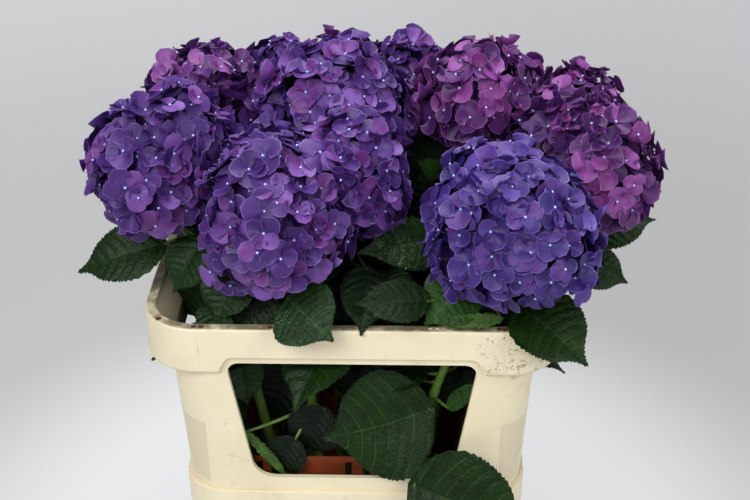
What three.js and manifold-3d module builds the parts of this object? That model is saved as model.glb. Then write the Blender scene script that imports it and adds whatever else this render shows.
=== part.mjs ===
// Bunch of mophead hydrangeas standing in a windowed plastic tub with an inner tray.
// Millimetres, +Z up, the front of the tub faces -Y, the origin is the middle of the tub's flat underside.

import * as THREE from 'three';
import { mergeVertices } from 'three/addons/utils/BufferGeometryUtils.js';
import Module from 'manifold-3d';

const wasm = await Module();
wasm.setup();

// ---------- driving dimensions ----------

const GAP = 0.3;                 // clearance between separate pieces

// tub as a whole
const TUB_HEIGHT = 380;
const JOINT_HEIGHT = 182;        // where the collar stands on the bucket
const RIM_HALF_X = 200;
const RIM_HALF_Y = 150;
const RIM_RADIUS = 54;
const RIM_FACE = 10;             // width of the rim's top face
const BAND_DROP_CORNER = 50;     // height of the rim band at the corners
const BAND_DROP_WINDOW = 31;     // height of the rim band over the long windows
const NOTCH_HALF_LOW = 130.5;    // half width of the raised stretch of band, lower edge
const NOTCH_HALF_HIGH = 118.5;   // the same at its upper edge

// collar wall below the band
const COLLAR_TOP_X = 178;
const COLLAR_TOP_Y = 146;
const COLLAR_LOW_X = 168;
const COLLAR_LOW_Y = 135;
const COLLAR_RADIUS = 42;
const WALL = 4.5;
const CORNER_STEPS = 3;          // half the number of faces round a corner
const FUNNEL_START = 352;        // the inside widens from here up to the rim
const FUNNEL_END = 374;
const LIP_DEPTH = 12;            // locating lip that drops into the bucket
const LIP_WALL = 3;
const LIP_ROOT = 6;              // how far the lip runs up inside the collar
const LIP_EASE = 0.6;            // play between the lip and the bucket's mouth

// windows in the collar
const WINDOW_TOP = 340;
const WINDOW_LOW = 199;
const WINDOW_HALF_TOP = 120;
const WINDOW_HALF_LOW = 97;
const WINDOW_RADIUS_TOP = 13;
const WINDOW_RADIUS_LOW = 20;
const SIDE_WINDOW_HALF_TOP = 84;
const SIDE_WINDOW_HALF_LOW = 66;
const SIDE_WINDOW_DROP = 14;     // how much lower the side windows end at the top
const SIDE_WINDOW_RADIUS_LOW = 11;

// recessed panels at the four corners
const PANEL_TOP = 266;
const PANEL_EDGE_X = 144;
const PANEL_EDGE_Y = 112;
const PANEL_DEPTH = 1.6;
const PANEL_FOOT = 8;            // height of the frame left under a panel

// bucket under the collar
const BUCKET_RIM_X = 172;
const BUCKET_RIM_Y = 139;
const BUCKET_RIM_HEIGHT = 32;
const BUCKET_TOP_X = 168.5;
const BUCKET_TOP_Y = 135.5;
const BUCKET_LOW_X = 152;
const BUCKET_LOW_Y = 113;
const BUCKET_RADIUS = 40;
const BUCKET_WALL = 4;
const BUCKET_FLOOR = 4;
const FOOT_RECESS = 5;           // step in the bucket just over its underside

// slotted tray inside the bucket
const TRAY_TOP = 210;
const TRAY_TOP_X = 146;
const TRAY_TOP_Y = 118;
const TRAY_LOW_X = 141;
const TRAY_LOW_Y = 102;
const TRAY_RADIUS = 30;
const TRAY_WALL = 3;
const TRAY_FLOOR = 4;
const SLOT_WIDTH = 6.5;
const SLOT_PITCH = 18;
const SLOT_LOW = 70;
const SLOT_TOP = 204;
const SLOT_GROUPS_X = [-6, -114];
const SLOTS_IN_GROUP = 4;
const SIDE_SLOT_START = -36;
const SIDE_SLOTS = 5;

// stems
const STEM_FOOT = 6.2;           // radius at the cut foot
const STEM_TIP = 4.8;            // radius where it enters its foliage
const NECK = 3.9;                // radius just under a bloom
const STEM_SIDES = 6;
const STEM_BEND = 0.36;          // how stiffly a limb leaves its two ends
const TRAY_TOP_OF_FLOOR = BUCKET_FLOOR + GAP + TRAY_FLOOR;

// leaves
const LEAF_LENGTH = 112;
const LEAF_WIDTH = 82;
const LEAF_THICK = 2.2;
const PETIOLE = 26;
const PETIOLE_RADIUS = 2;
const NODE_SPACING = 46;         // height between two pairs of leaves
const CROWN_X = 245;             // the space that pairs of leaves keep to, left and right
const CROWN_FRONT = 190;         // the same towards the front
const CROWN_BACK = 262;          // and towards the back

// blooms
const FLORET_AREA = 3450;        // surface of the ball for one floret
const CORE_SHARE = 0.84;         // size of the core against the ball
const FLORET_NOTCH = 0.5;        // notch between two sepals against their tips
const FLORET_CUP = 0.1;          // how far a floret's middle lies below its edge
const FLORET_DEPTH = 0.22;       // how deep its point sinks, against the ball
const BALL_CLEAR = 0.4;          // clearance between neighbouring blooms
const OPEN_BELOW = -0.72;        // no florets nearer to the neck than this
const HIDDEN_SHARE = 0.86;       // a floret nearer than this to a neighbour's middle is left out

// seeds of the random turns and sizes, one series for every stem
const BLOOM_SEED = 7919;
const BLOOM_SEED_STEP = 104729;
const LEAF_SEED = 15485863;
const LEAF_SEED_STEP = 7919;
const GOLDEN_ANGLE = 2.399963;

// Every row is one stem: its bloom's middle and radius, the way the bloom tips, its foot in the
// tray, the top of its bare stem and how many pairs of leaves its foliage starts with.
const STEMS = [
  { at: [-184, -70, 512], r: 63, tip: [-0.3, -0.12, 1], foot: [-52, -60], knee: [-104, -66, 272], pairs: 3 },
  { at: [-156, 60, 531], r: 53, tip: [-0.15, 0.05, 1], foot: [-84, 42], knee: [-115, 51, 250], pairs: 5 },
  { at: [-67, -120, 486], r: 70, tip: [-0.08, -0.5, 1], foot: [-22, -82], knee: [-42, -88, 246], pairs: 2 },
  { at: [-4, -75, 500], r: 60, tip: [0, -0.25, 1], foot: [8, -56], knee: [5, -64, 250], pairs: 5 },
  { at: [-19, 12, 535], r: 69, tip: [0, 0, 1], foot: [-20, 2], knee: [-20, 7, 250], pairs: 6 },
  { at: [-84, 130, 522], r: 43, tip: [0, 0.15, 1], foot: [-56, 70], knee: [-72, 98, 320], pairs: 3 },
  { at: [47, 120, 528], r: 45, tip: [0, 0.1, 1], foot: [26, 66], knee: [36, 92, 320], pairs: 3 },
  { at: [115, 20, 543], r: 57, tip: [0.05, 0, 1], foot: [64, 14], knee: [85, 17, 250], pairs: 5 },
  { at: [219, 70, 506], r: 49, tip: [0.4, 0.05, 1], foot: [98, 42], knee: [144, 56, 310], pairs: 2 },
  { at: [227, -30, 492], r: 65, tip: [0.4, -0.05, 1], foot: [104, -18], knee: [142, -24, 284], pairs: 4 },
  { at: [149, -130, 481], r: 79, tip: [0.25, -0.45, 1], foot: [37, -84], knee: [70, -90, 226], pairs: 3 },
  { at: [-165, 158, 478], r: 58, tip: [-0.2, 0.4, 1], foot: [-108, 62], knee: [-123, 82, 250], pairs: 5 },
  { at: [-25, 188, 482], r: 60, tip: [0, 0.6, 1], foot: [-16, 74], knee: [-19, 96, 250], pairs: 3 },
  { at: [148, 160, 486], r: 57, tip: [0.15, 0.45, 1], foot: [72, 74], knee: [99, 91, 250], pairs: 5 },
  { at: [226, 138, 462], r: 46, tip: [0.6, 0.3, 1], foot: [112, 62], knee: [140, 84, 290], pairs: 2 },
  { at: [-226, 60, 464], r: 48, tip: [-0.6, 0.05, 1], foot: [-112, 18], knee: [-144, 34, 296], pairs: 2 },
];

// Single leaves that hang out over the rim, beside the blooms or in the windows. Every row is the
// stem that bears the leaf, the base and the tip of its blade, its width and the way its face looks.
const SINGLE_LEAVES = [
  { stem: 1, base: [-180, -62, 424], end: [-272, -64, 391], wide: 58, face: [-0.1, -0.7, 0.7] },
  { stem: 1, base: [-158, -84, 432], end: [-171, -112, 396], wide: 44, face: [-0.5, -0.8, 0.3] },
  { stem: 3, base: [-104, -104, 402], end: [-130, -130, 376], wide: 48, face: [-0.2, -0.8, 0.5] },
  { stem: 3, base: [-60, -137, 408], end: [-14, -175, 384], wide: 70, face: [0, -0.85, 0.5] },
  { stem: 4, base: [14, -112, 424], end: [10, -168, 385], wide: 48, face: [0.1, -0.75, 0.6] },
  { stem: 11, base: [76, -106, 398], end: [4, -130, 400], wide: 50, face: [0, -0.65, 0.75] },
  { stem: 8, base: [62, -60, 400], end: [36, -72, 440], wide: 76, face: [0, -0.75, 0.65] },
  { stem: 11, base: [112, -116, 394], end: [68, -142, 386], wide: 60, face: [-0.1, -0.7, 0.7] },
  { stem: 11, base: [154, -121, 394], end: [219, -172, 358], wide: 76, face: [0.2, -0.6, 0.75] },
  { stem: 10, base: [150, -50, 318], end: [212, -72, 284], wide: 30, face: [0.2, -0.6, 0.8] },
  { stem: 10, base: [222, 14, 398], end: [306, 22, 411], wide: 58, face: [0.1, -0.6, 0.8] },
  { stem: 10, base: [212, -48, 404], end: [268, -60, 382], wide: 46, face: [0.3, -0.8, 0.5] },
  { stem: 1, base: [-142, -52, 322], end: [-206, -74, 296], wide: 28, face: [-0.2, -0.5, 0.8] },
  { stem: 11, base: [80, -104, 268], end: [-31, -117, 236], wide: 116, face: [0, -0.95, 0.3] },
  { stem: 11, base: [60, -148, 212], end: [164, -188, 190], wide: 96, face: [0.1, -0.9, 0.42] },
  { stem: 3, base: [-104, -108, 254], end: [-70, -122, 207], wide: 32, face: [0.3, -0.85, 0.4] },
  { stem: 1, base: [-116, -94, 326], end: [-106, -104, 262], wide: 44, face: [0.2, -0.95, 0.2] },
  { stem: 11, base: [98, -102, 284], end: [128, -106, 300], wide: 30, face: [0, -0.95, 0.3] },
  { stem: 3, base: [-28, -98, 258], end: [-56, -104, 212], wide: 56, face: [0, -0.9, 0.4] },
];

// ---------- small tools ----------

const UP = new THREE.Vector3(0, 0, 1);

function vec(list) {
  return new THREE.Vector3(list[0], list[1], list[2]);
}

function lerp(a, b, t) {
  return a + (b - a) * t;
}

function seededRandom(seed) {
  let state = seed;
  return () => {
    state = (state * 16807) % 2147483647;
    return state / 2147483647;
  };
}

function solid(geometry) {
  const bare = geometry.clone();
  bare.deleteAttribute('normal');
  bare.deleteAttribute('uv');
  const merged = mergeVertices(bare, 1e-4);
  return new wasm.Manifold(new wasm.Mesh({
    numProp: 3,
    vertProperties: Float32Array.from(merged.attributes.position.array),
    triVerts: Uint32Array.from(merged.index.array),
  }));
}

function geometryOf(body) {
  const mesh = body.getMesh();
  const geometry = new THREE.BufferGeometry();
  geometry.setAttribute('position', new THREE.BufferAttribute(Float32Array.from(mesh.vertProperties), 3));
  geometry.setIndex(Array.from(mesh.triVerts));
  geometry.computeVertexNormals();
  return geometry;
}

// The one large piece of a body, with small loose scraps left out and sealed hollows filled.
function largestPiece(body) {
  const pieces = body.decompose();
  let best = pieces[0];
  for (const piece of pieces) {
    if (piece.volume() > best.volume()) {
      best = piece;
    }
  }
  return best;
}

function moveVertices(geometry, rule) {
  const position = geometry.attributes.position;
  const point = new THREE.Vector3();
  for (let i = 0; i < position.count; i += 1) {
    point.fromBufferAttribute(position, i);
    rule(point);
    position.setXYZ(i, point.x, point.y, point.z);
  }
  return geometry;
}

// ---------- tub ----------

function roundedOutline(halfX, halfY, radius) {
  const shape = new THREE.Shape();
  shape.moveTo(-halfX + radius, -halfY);
  shape.lineTo(halfX - radius, -halfY);
  shape.absarc(halfX - radius, -halfY + radius, radius, -Math.PI / 2, 0, false);
  shape.lineTo(halfX, halfY - radius);
  shape.absarc(halfX - radius, halfY - radius, radius, 0, Math.PI / 2, false);
  shape.lineTo(-halfX + radius, halfY);
  shape.absarc(-halfX + radius, halfY - radius, radius, Math.PI / 2, Math.PI, false);
  shape.lineTo(-halfX, -halfY + radius);
  shape.absarc(-halfX + radius, -halfY + radius, radius, Math.PI, Math.PI * 1.5, false);
  return shape;
}

// A block with rounded corners whose plan grows evenly from its lower to its upper size.
function taperedBlock(low, high, radius, zLow, zHigh) {
  const geometry = new THREE.ExtrudeGeometry(roundedOutline(low[0], low[1], radius), {
    depth: zHigh - zLow,
    bevelEnabled: false,
    curveSegments: CORNER_STEPS,
  });
  moveVertices(geometry, (p) => {
    const t = p.z / (zHigh - zLow);
    p.x *= lerp(low[0], high[0], t) / low[0];
    p.y *= lerp(low[1], high[1], t) / low[1];
    p.z += zLow;
  });
  return solid(geometry);
}

function box(low, high) {
  const geometry = new THREE.BoxGeometry(high[0] - low[0], high[1] - low[1], high[2] - low[2]);
  geometry.translate((low[0] + high[0]) / 2, (low[1] + high[1]) / 2, (low[2] + high[2]) / 2);
  return solid(geometry);
}

// A prism along Y through a four-sided outline that is symmetric in X, with rounded corners.
function windowPrism(halfLow, halfTop, zLow, zTop, radiusLow, radiusTop, yFrom, yTo) {
  const corners = [
    { x: -halfLow, y: zLow, r: radiusLow },
    { x: halfLow, y: zLow, r: radiusLow },
    { x: halfTop, y: zTop, r: radiusTop },
    { x: -halfTop, y: zTop, r: radiusTop },
  ];
  const shape = new THREE.Shape();
  corners.forEach((corner, i) => {
    const before = corners[(i + 3) % 4];
    const after = corners[(i + 1) % 4];
    const here = new THREE.Vector2(corner.x, corner.y);
    const back = new THREE.Vector2(before.x, before.y).sub(here).normalize();
    const ahead = new THREE.Vector2(after.x, after.y).sub(here).normalize();
    const reach = corner.r / Math.tan(back.angleTo(ahead) / 2);
    const start = here.clone().addScaledVector(back, reach);
    const stop = here.clone().addScaledVector(ahead, reach);
    if (i === 0) {
      shape.moveTo(start.x, start.y);
    } else {
      shape.lineTo(start.x, start.y);
    }
    if (corner.r > 0.01) {
      shape.quadraticCurveTo(here.x, here.y, stop.x, stop.y);
    }
  });
  const geometry = new THREE.ExtrudeGeometry(shape, {
    depth: yTo - yFrom,
    bevelEnabled: false,
    curveSegments: 4,
  });
  geometry.rotateX(Math.PI / 2);
  geometry.translate(0, yTo, 0);
  return solid(geometry);
}

function makeCollar() {
  const bandLow = TUB_HEIGHT - BAND_DROP_CORNER;
  const bandNotch = TUB_HEIGHT - BAND_DROP_WINDOW;
  const rimPlan = [RIM_HALF_X, RIM_HALF_Y];
  let band = taperedBlock(rimPlan, rimPlan, RIM_RADIUS, bandLow, TUB_HEIGHT);
  band = band.subtract(windowPrism(
    NOTCH_HALF_LOW, NOTCH_HALF_HIGH, bandLow - 1, bandNotch, 0.001, 0.001, -RIM_HALF_Y - 5, RIM_HALF_Y + 5,
  ));
  const shell = taperedBlock(
    [COLLAR_LOW_X, COLLAR_LOW_Y], [COLLAR_TOP_X, COLLAR_TOP_Y],
    COLLAR_RADIUS, JOINT_HEIGHT + GAP, FUNNEL_START,
  );
  const pocketPlan = [RIM_HALF_X - 3, RIM_HALF_Y - 3];
  const pocket = taperedBlock(pocketPlan, pocketPlan, RIM_RADIUS - 3, bandLow - 1, bandLow + 16)
    .intersect(box([-RIM_HALF_X, -RIM_HALF_Y + 32, 0], [RIM_HALF_X, RIM_HALF_Y - 32, TUB_HEIGHT]));
  const lip = taperedBlock(
    [COLLAR_LOW_X - WALL - LIP_EASE, COLLAR_LOW_Y - WALL - LIP_EASE],
    [COLLAR_LOW_X - WALL - LIP_EASE, COLLAR_LOW_Y - WALL - LIP_EASE],
    COLLAR_RADIUS - WALL, JOINT_HEIGHT - LIP_DEPTH, JOINT_HEIGHT + LIP_ROOT,
  );
  const inside = taperedBlock(
    [COLLAR_LOW_X - WALL, COLLAR_LOW_Y - WALL], [COLLAR_TOP_X - WALL, RIM_HALF_Y - RIM_FACE],
    COLLAR_RADIUS - WALL, JOINT_HEIGHT + LIP_ROOT, FUNNEL_START,
  );
  const insideLip = taperedBlock(
    [COLLAR_LOW_X - WALL - LIP_WALL - LIP_EASE, COLLAR_LOW_Y - WALL - LIP_WALL - LIP_EASE],
    [COLLAR_LOW_X - WALL - LIP_WALL - LIP_EASE, COLLAR_LOW_Y - WALL - LIP_WALL - LIP_EASE],
    COLLAR_RADIUS - WALL - LIP_WALL, JOINT_HEIGHT - LIP_DEPTH - 1, JOINT_HEIGHT + LIP_ROOT + 1,
  );
  const funnel = taperedBlock(
    [COLLAR_TOP_X - WALL, RIM_HALF_Y - RIM_FACE], [RIM_HALF_X - RIM_FACE, RIM_HALF_Y - RIM_FACE],
    COLLAR_RADIUS, FUNNEL_START - 0.01, FUNNEL_END,
  );
  const mouth = taperedBlock(
    [RIM_HALF_X - RIM_FACE, RIM_HALF_Y - RIM_FACE], [RIM_HALF_X - RIM_FACE, RIM_HALF_Y - RIM_FACE],
    RIM_RADIUS - RIM_FACE, FUNNEL_END - 0.01, TUB_HEIGHT + 1,
  );
  let collar = band.subtract(pocket).add(shell).add(lip);
  collar = collar.subtract(inside).subtract(insideLip).subtract(funnel).subtract(mouth);

  // recessed corner panels
  const inset = PANEL_DEPTH;
  const skin = taperedBlock(
    [COLLAR_LOW_X - inset, COLLAR_LOW_Y - inset], [COLLAR_TOP_X - inset, COLLAR_TOP_Y - inset],
    COLLAR_RADIUS - inset, JOINT_HEIGHT - 20, FUNNEL_START,
  );
  for (const sideX of [-1, 1]) {
    for (const sideY of [-1, 1]) {
      const x = [PANEL_EDGE_X * sideX, 220 * sideX].sort((a, b) => a - b);
      const y = [PANEL_EDGE_Y * sideY, 170 * sideY].sort((a, b) => a - b);
      const corner = box([x[0], y[0], JOINT_HEIGHT + PANEL_FOOT], [x[1], y[1], PANEL_TOP]);
      collar = collar.subtract(corner.subtract(skin));
    }
  }

  // windows
  collar = collar.subtract(windowPrism(
    WINDOW_HALF_LOW, WINDOW_HALF_TOP, WINDOW_LOW, WINDOW_TOP,
    WINDOW_RADIUS_LOW, WINDOW_RADIUS_TOP, -200, 200,
  ));
  const sideWindow = windowPrism(
    SIDE_WINDOW_HALF_LOW, SIDE_WINDOW_HALF_TOP, WINDOW_LOW, WINDOW_TOP - SIDE_WINDOW_DROP,
    SIDE_WINDOW_RADIUS_LOW, WINDOW_RADIUS_TOP, -240, 240,
  ).rotate([0, 0, 90]);
  return collar.subtract(sideWindow);
}

function makeBucket() {
  const shoulder = JOINT_HEIGHT - BUCKET_RIM_HEIGHT;
  const rim = taperedBlock(
    [BUCKET_RIM_X - 0.6, BUCKET_RIM_Y - 0.6], [BUCKET_RIM_X, BUCKET_RIM_Y],
    BUCKET_RADIUS + 3, shoulder, JOINT_HEIGHT,
  );
  const body = taperedBlock(
    [BUCKET_LOW_X, BUCKET_LOW_Y], [BUCKET_TOP_X, BUCKET_TOP_Y], BUCKET_RADIUS, FOOT_RECESS, shoulder + 4,
  );
  const footPlan = [BUCKET_LOW_X - 3, BUCKET_LOW_Y - 3];
  const foot = taperedBlock(footPlan, footPlan, BUCKET_RADIUS - 3, 0, FOOT_RECESS + 3);
  const inside = taperedBlock(
    [BUCKET_LOW_X - BUCKET_WALL, BUCKET_LOW_Y - BUCKET_WALL],
    [BUCKET_TOP_X - BUCKET_WALL, BUCKET_TOP_Y - BUCKET_WALL],
    BUCKET_RADIUS - BUCKET_WALL, BUCKET_FLOOR, JOINT_HEIGHT + 0.5,
  );
  const mouth = taperedBlock(
    [COLLAR_LOW_X - WALL, COLLAR_LOW_Y - WALL], [COLLAR_LOW_X - WALL, COLLAR_LOW_Y - WALL],
    COLLAR_RADIUS - WALL + 0.5, JOINT_HEIGHT - LIP_DEPTH - GAP, JOINT_HEIGHT + 0.5,
  );
  return rim.add(body).add(foot).subtract(inside).subtract(mouth);
}

function makeTray() {
  const floor = BUCKET_FLOOR + GAP;
  let tray = taperedBlock([TRAY_LOW_X, TRAY_LOW_Y], [TRAY_TOP_X, TRAY_TOP_Y], TRAY_RADIUS, floor, TRAY_TOP);
  tray = tray.subtract(taperedBlock(
    [TRAY_LOW_X - TRAY_WALL, TRAY_LOW_Y - TRAY_WALL], [TRAY_TOP_X - TRAY_WALL, TRAY_TOP_Y - TRAY_WALL],
    TRAY_RADIUS - TRAY_WALL, floor + TRAY_FLOOR, TRAY_TOP + 1,
  ));
  const half = SLOT_WIDTH / 2;
  for (const start of SLOT_GROUPS_X) {
    for (let i = 0; i < SLOTS_IN_GROUP; i += 1) {
      const x = start + i * SLOT_PITCH;
      tray = tray.subtract(box([x - half, -160, SLOT_LOW], [x + half, 160, SLOT_TOP]));
    }
  }
  for (let i = 0; i < SIDE_SLOTS; i += 1) {
    const y = SIDE_SLOT_START + i * SLOT_PITCH;
    tray = tray.subtract(box([-180, y - half, SLOT_LOW], [180, y + half, SLOT_TOP]));
  }
  return tray;
}

// ---------- limbs, leaves and florets ----------

// A tapering limb that follows a path, made from an open-ended pole that is bent on to it.
function limb(path, startRadius, endRadius, sides, steps) {
  const geometry = new THREE.CylinderGeometry(1, 1, 1, sides, steps);
  const across = new THREE.Vector3();
  const beside = new THREE.Vector3();
  moveVertices(geometry, (p) => {
    const t = p.y + 0.5;
    const centre = path.getPoint(t);
    const along = path.getTangent(t);
    across.crossVectors(Math.abs(along.z) > 0.9 ? new THREE.Vector3(0, 1, 0) : UP, along).normalize();
    beside.crossVectors(along, across);
    const radius = lerp(startRadius, endRadius, t);
    const px = p.x * radius;
    const pz = p.z * radius;
    p.copy(centre).addScaledVector(across, pz).addScaledVector(beside, px);
  });
  return solid(geometry);
}

function straight(from, to) {
  return new THREE.LineCurve3(from, to);
}

// Half width of a leaf blade along its length: broad below the middle with a drawn-out point.
function bladeWidth(t) {
  const body = Math.pow(Math.sin(Math.PI * Math.pow(t, 0.82)), 0.72);
  return body * (1 - 0.35 * t * t * t);
}

// A blade from base to tip. It is folded up along its midrib and its tip bends away from its face.
function blade(base, tip, wide, face) {
  const along = tip.clone().sub(base);
  const length = along.length();
  along.normalize();
  const side = new THREE.Vector3().crossVectors(face, along).normalize();
  const normal = new THREE.Vector3().crossVectors(along, side);
  const geometry = new THREE.SphereGeometry(1, 4, 5);
  moveVertices(geometry, (p) => {
    const t = 0.5 - 0.5 * p.y;
    const ring = Math.sqrt(Math.max(0, 1 - p.y * p.y));
    const sideways = ring > 1e-6 ? p.x / ring : 0;
    const upward = ring > 1e-6 ? p.z / ring : 0;
    const half = (wide / 2) * bladeWidth(t);
    const arch = length * 0.09 * Math.sin(Math.PI * t);
    const fold = Math.abs(sideways) * half * 0.16;
    const lift = arch - length * 0.02 + fold + upward * LEAF_THICK * 0.5;
    const point = base.clone();
    point.addScaledVector(along, t * length);
    point.addScaledVector(side, sideways * half);
    point.addScaledVector(normal, ring > 1e-6 ? lift : 0);
    p.copy(point);
  });
  return solid(geometry);
}

// A petiole and its blade, fused, with the petiole's root sunk in the limb that bears it.
function leafOnStalk(root, base, tip, wide, face) {
  const reach = tip.clone().sub(base).normalize();
  const inBlade = base.clone().addScaledVector(reach, tip.distanceTo(base) * 0.16);
  const towardFace = face.clone().normalize();
  inBlade.addScaledVector(towardFace, tip.distanceTo(base) * 0.02);
  const stalk = limb(straight(root, inBlade), PETIOLE_RADIUS * 1.15, PETIOLE_RADIUS * 0.75, 4, 1);
  return stalk.add(blade(base, tip, wide, face));
}

// A floret: four lobes round a cupped middle, drawn down to a point that sinks into the core.
function floret(centre, outward, radius, spin, sink) {
  const geometry = new THREE.ConeGeometry(1, 1, 8, 1);
  const across = new THREE.Vector3().crossVectors(
    Math.abs(outward.z) > 0.9 ? new THREE.Vector3(1, 0, 0) : UP, outward,
  ).normalize();
  const beside = new THREE.Vector3().crossVectors(outward, across);
  moveVertices(geometry, (p) => {
    const point = centre.clone();
    if (p.y > 0) {
      point.addScaledVector(outward, -sink);
    } else {
      const ring = Math.hypot(p.x, p.z);
      if (ring < 0.5) {
        point.addScaledVector(outward, -radius * FLORET_CUP);
      } else {
        const lobe = Math.round(Math.atan2(p.z, p.x) / (Math.PI / 4));
        const size = radius * (lobe % 2 === 0 ? 1 : FLORET_NOTCH);
        const angle = Math.atan2(p.z, p.x) + spin;
        point.addScaledVector(across, Math.cos(angle) * size);
        point.addScaledVector(beside, Math.sin(angle) * size);
      }
    }
    p.copy(point);
  });
  return solid(geometry);
}

// Even directions over a ball, turned about its axis by a spin.
function ballDirections(count, axis, spin) {
  const turn = new THREE.Quaternion().setFromUnitVectors(UP, axis);
  const list = [];
  for (let i = 0; i < count; i += 1) {
    const z = 1 - (2 * (i + 0.5)) / count;
    const ring = Math.sqrt(1 - z * z);
    const angle = i * GOLDEN_ANGLE + spin;
    const direction = new THREE.Vector3(ring * Math.cos(angle), ring * Math.sin(angle), z);
    list.push({ direction: direction.applyQuaternion(turn), height: z });
  }
  return list;
}

// ---------- plants ----------

const stems = STEMS.map((row, index) => {
  const at = vec(row.at);
  const axis = vec(row.tip).normalize();
  const knee = vec(row.knee);
  const foot = new THREE.Vector3(row.foot[0], row.foot[1], TRAY_TOP_OF_FLOOR + GAP);
  const neck = at.clone().addScaledVector(axis, -row.r * 0.98);
  const bow = new THREE.Vector3().addVectors(foot, knee).multiplyScalar(0.5);
  bow.addScaledVector(new THREE.Vector3(foot.x, foot.y, 0), 0.03);
  const rise = knee.clone().sub(bow).normalize();
  const reach = neck.distanceTo(knee) * STEM_BEND;
  const path = new THREE.CubicBezierCurve3(
    knee.clone().addScaledVector(rise, GAP),
    knee.clone().addScaledVector(rise, reach),
    neck.clone().addScaledVector(axis, -reach),
    neck.clone().addScaledVector(axis, -GAP),
  );
  return { at, axis, knee, foot, bow, neck, path, r: row.r, pairs: row.pairs, number: index + 1 };
});

// Cuts a bloom back from each neighbour whose ball reaches into its own.
function cutFromNeighbours(body, stem) {
  let kept = body;
  for (const other of stems) {
    const between = other.at.clone().sub(stem.at);
    const distance = between.length();
    const near = distance < (stem.r + other.r) * 1.12 + 6;
    if (other === stem || !near) {
      continue;
    }
    between.normalize();
    const middle = (distance + (stem.r * stem.r - other.r * other.r) / distance) / 2 - BALL_CLEAR / 2;
    const offset = stem.at.dot(between) + middle;
    kept = kept.trimByPlane([-between.x, -between.y, -between.z], -offset);
  }
  return kept;
}

function makeBloom(stem) {
  const random = seededRandom(BLOOM_SEED + stem.number * BLOOM_SEED_STEP);
  const coreGeometry = new THREE.IcosahedronGeometry(stem.r * CORE_SHARE, 1);
  coreGeometry.translate(stem.at.x, stem.at.y, stem.at.z);
  const neckTop = stem.at.clone().addScaledVector(stem.axis, -stem.r * 0.5);
  let body = solid(coreGeometry).add(limb(straight(stem.neck, neckTop), NECK, NECK * 1.8, STEM_SIDES, 1));
  const count = Math.round((4 * Math.PI * stem.r * stem.r) / FLORET_AREA);
  for (const spot of ballDirections(count, stem.axis, random() * 6)) {
    const spin = random() * Math.PI;
    const size = (0.85 + random() * 0.1) * Math.sqrt(FLORET_AREA / Math.PI);
    if (spot.height < OPEN_BELOW) {
      continue;
    }
    const centre = stem.at.clone().addScaledVector(spot.direction, stem.r * (0.93 + random() * 0.05));
    const hidden = stems.some(
      (other) => other !== stem && centre.distanceTo(other.at) < other.r * HIDDEN_SHARE,
    );
    if (!hidden) {
      body = body.add(floret(centre, spot.direction, size, spin, stem.r * FLORET_DEPTH));
    }
  }
  return largestPiece(cutFromNeighbours(body, stem));
}

const placed = [];

function keep(name, body) {
  placed.push({ name, body, bounds: body.boundingBox() });
}

// The first solid that a new piece would touch, apart from the one that bears it.
function touches(body, bearer) {
  const a = body.boundingBox();
  return placed.find(({ name, body: other, bounds: b }) => {
    if (name === bearer) {
      return false;
    }
    for (let i = 0; i < 3; i += 1) {
      if (a.min[i] > b.max[i] + 0.5 || b.min[i] > a.max[i] + 0.5) {
        return false;
      }
    }
    return body.minGap(other, 0.5) < 0.25;
  });
}

function makeStem(stem) {
  const heel = stem.foot.clone().lerp(stem.bow, -0.02);
  const path = new THREE.QuadraticBezierCurve3(heel, stem.bow, stem.knee);
  return limb(path, STEM_FOOT, STEM_TIP, STEM_SIDES, 3).trimByPlane([0, 0, 1], stem.foot.z);
}

function grow(stem, leaf) {
  if (!touches(leaf, `foliage_${stem.number}`)) {
    stem.leaves.push(leaf);
    keep(`foliage_${stem.number}`, leaf);
  }
}

// The single leaves of a stem, each on a stalk from the nearest point of its foliage limb.
function growSingleLeaves(stem) {
  for (const row of SINGLE_LEAVES.filter((item) => item.stem === stem.number)) {
    const base = vec(row.base);
    let best = 0;
    for (let i = 0; i <= 20; i += 1) {
      if (stem.path.getPoint(i / 20).distanceTo(base) < stem.path.getPoint(best).distanceTo(base)) {
        best = i / 20;
      }
    }
    const root = stem.path.getPoint(Math.min(0.94, Math.max(0.04, best)));
    grow(stem, leafOnStalk(root, base, vec(row.end), row.wide, vec(row.face)));
  }
}

// Opposite pairs of leaves down from the neck, each pair a quarter turn from the last.
function growLeafPairs(stem) {
  const random = seededRandom(LEAF_SEED + stem.number * LEAF_SEED_STEP);
  const length = stem.path.getLength();
  for (let pair = 0; pair < stem.pairs; pair += 1) {
    const t = 1 - (14 + pair * NODE_SPACING) / length;
    const turn = (pair % 2) * (Math.PI / 2) + random() * 0.7 + stem.number;
    for (const side of [0, Math.PI]) {
      const size = 0.8 + random() * 0.35;
      const droop = -0.15 - random() * 0.55;
      const heading = turn + side + (random() - 0.5) * 0.5;
      const root = stem.path.getPoint(Math.max(0, t));
      const out = new THREE.Vector3(Math.cos(heading), Math.sin(heading), 0);
      const base = root.clone().addScaledVector(out, PETIOLE * size).addScaledVector(UP, 8 * size);
      const reach = out.clone().addScaledVector(UP, droop).normalize();
      const tip = base.clone().addScaledVector(reach, LEAF_LENGTH * size);
      const outside = Math.hypot(tip.x / CROWN_X, tip.y / (tip.y < 0 ? CROWN_FRONT : CROWN_BACK)) > 1;
      if (t > 0.03 && !outside) {
        const face = UP.clone().addScaledVector(out, -droop + 0.1);
        grow(stem, leafOnStalk(root, base, tip, LEAF_WIDTH * size, face));
      }
    }
  }
}

// ---------- assembly ----------

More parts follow.
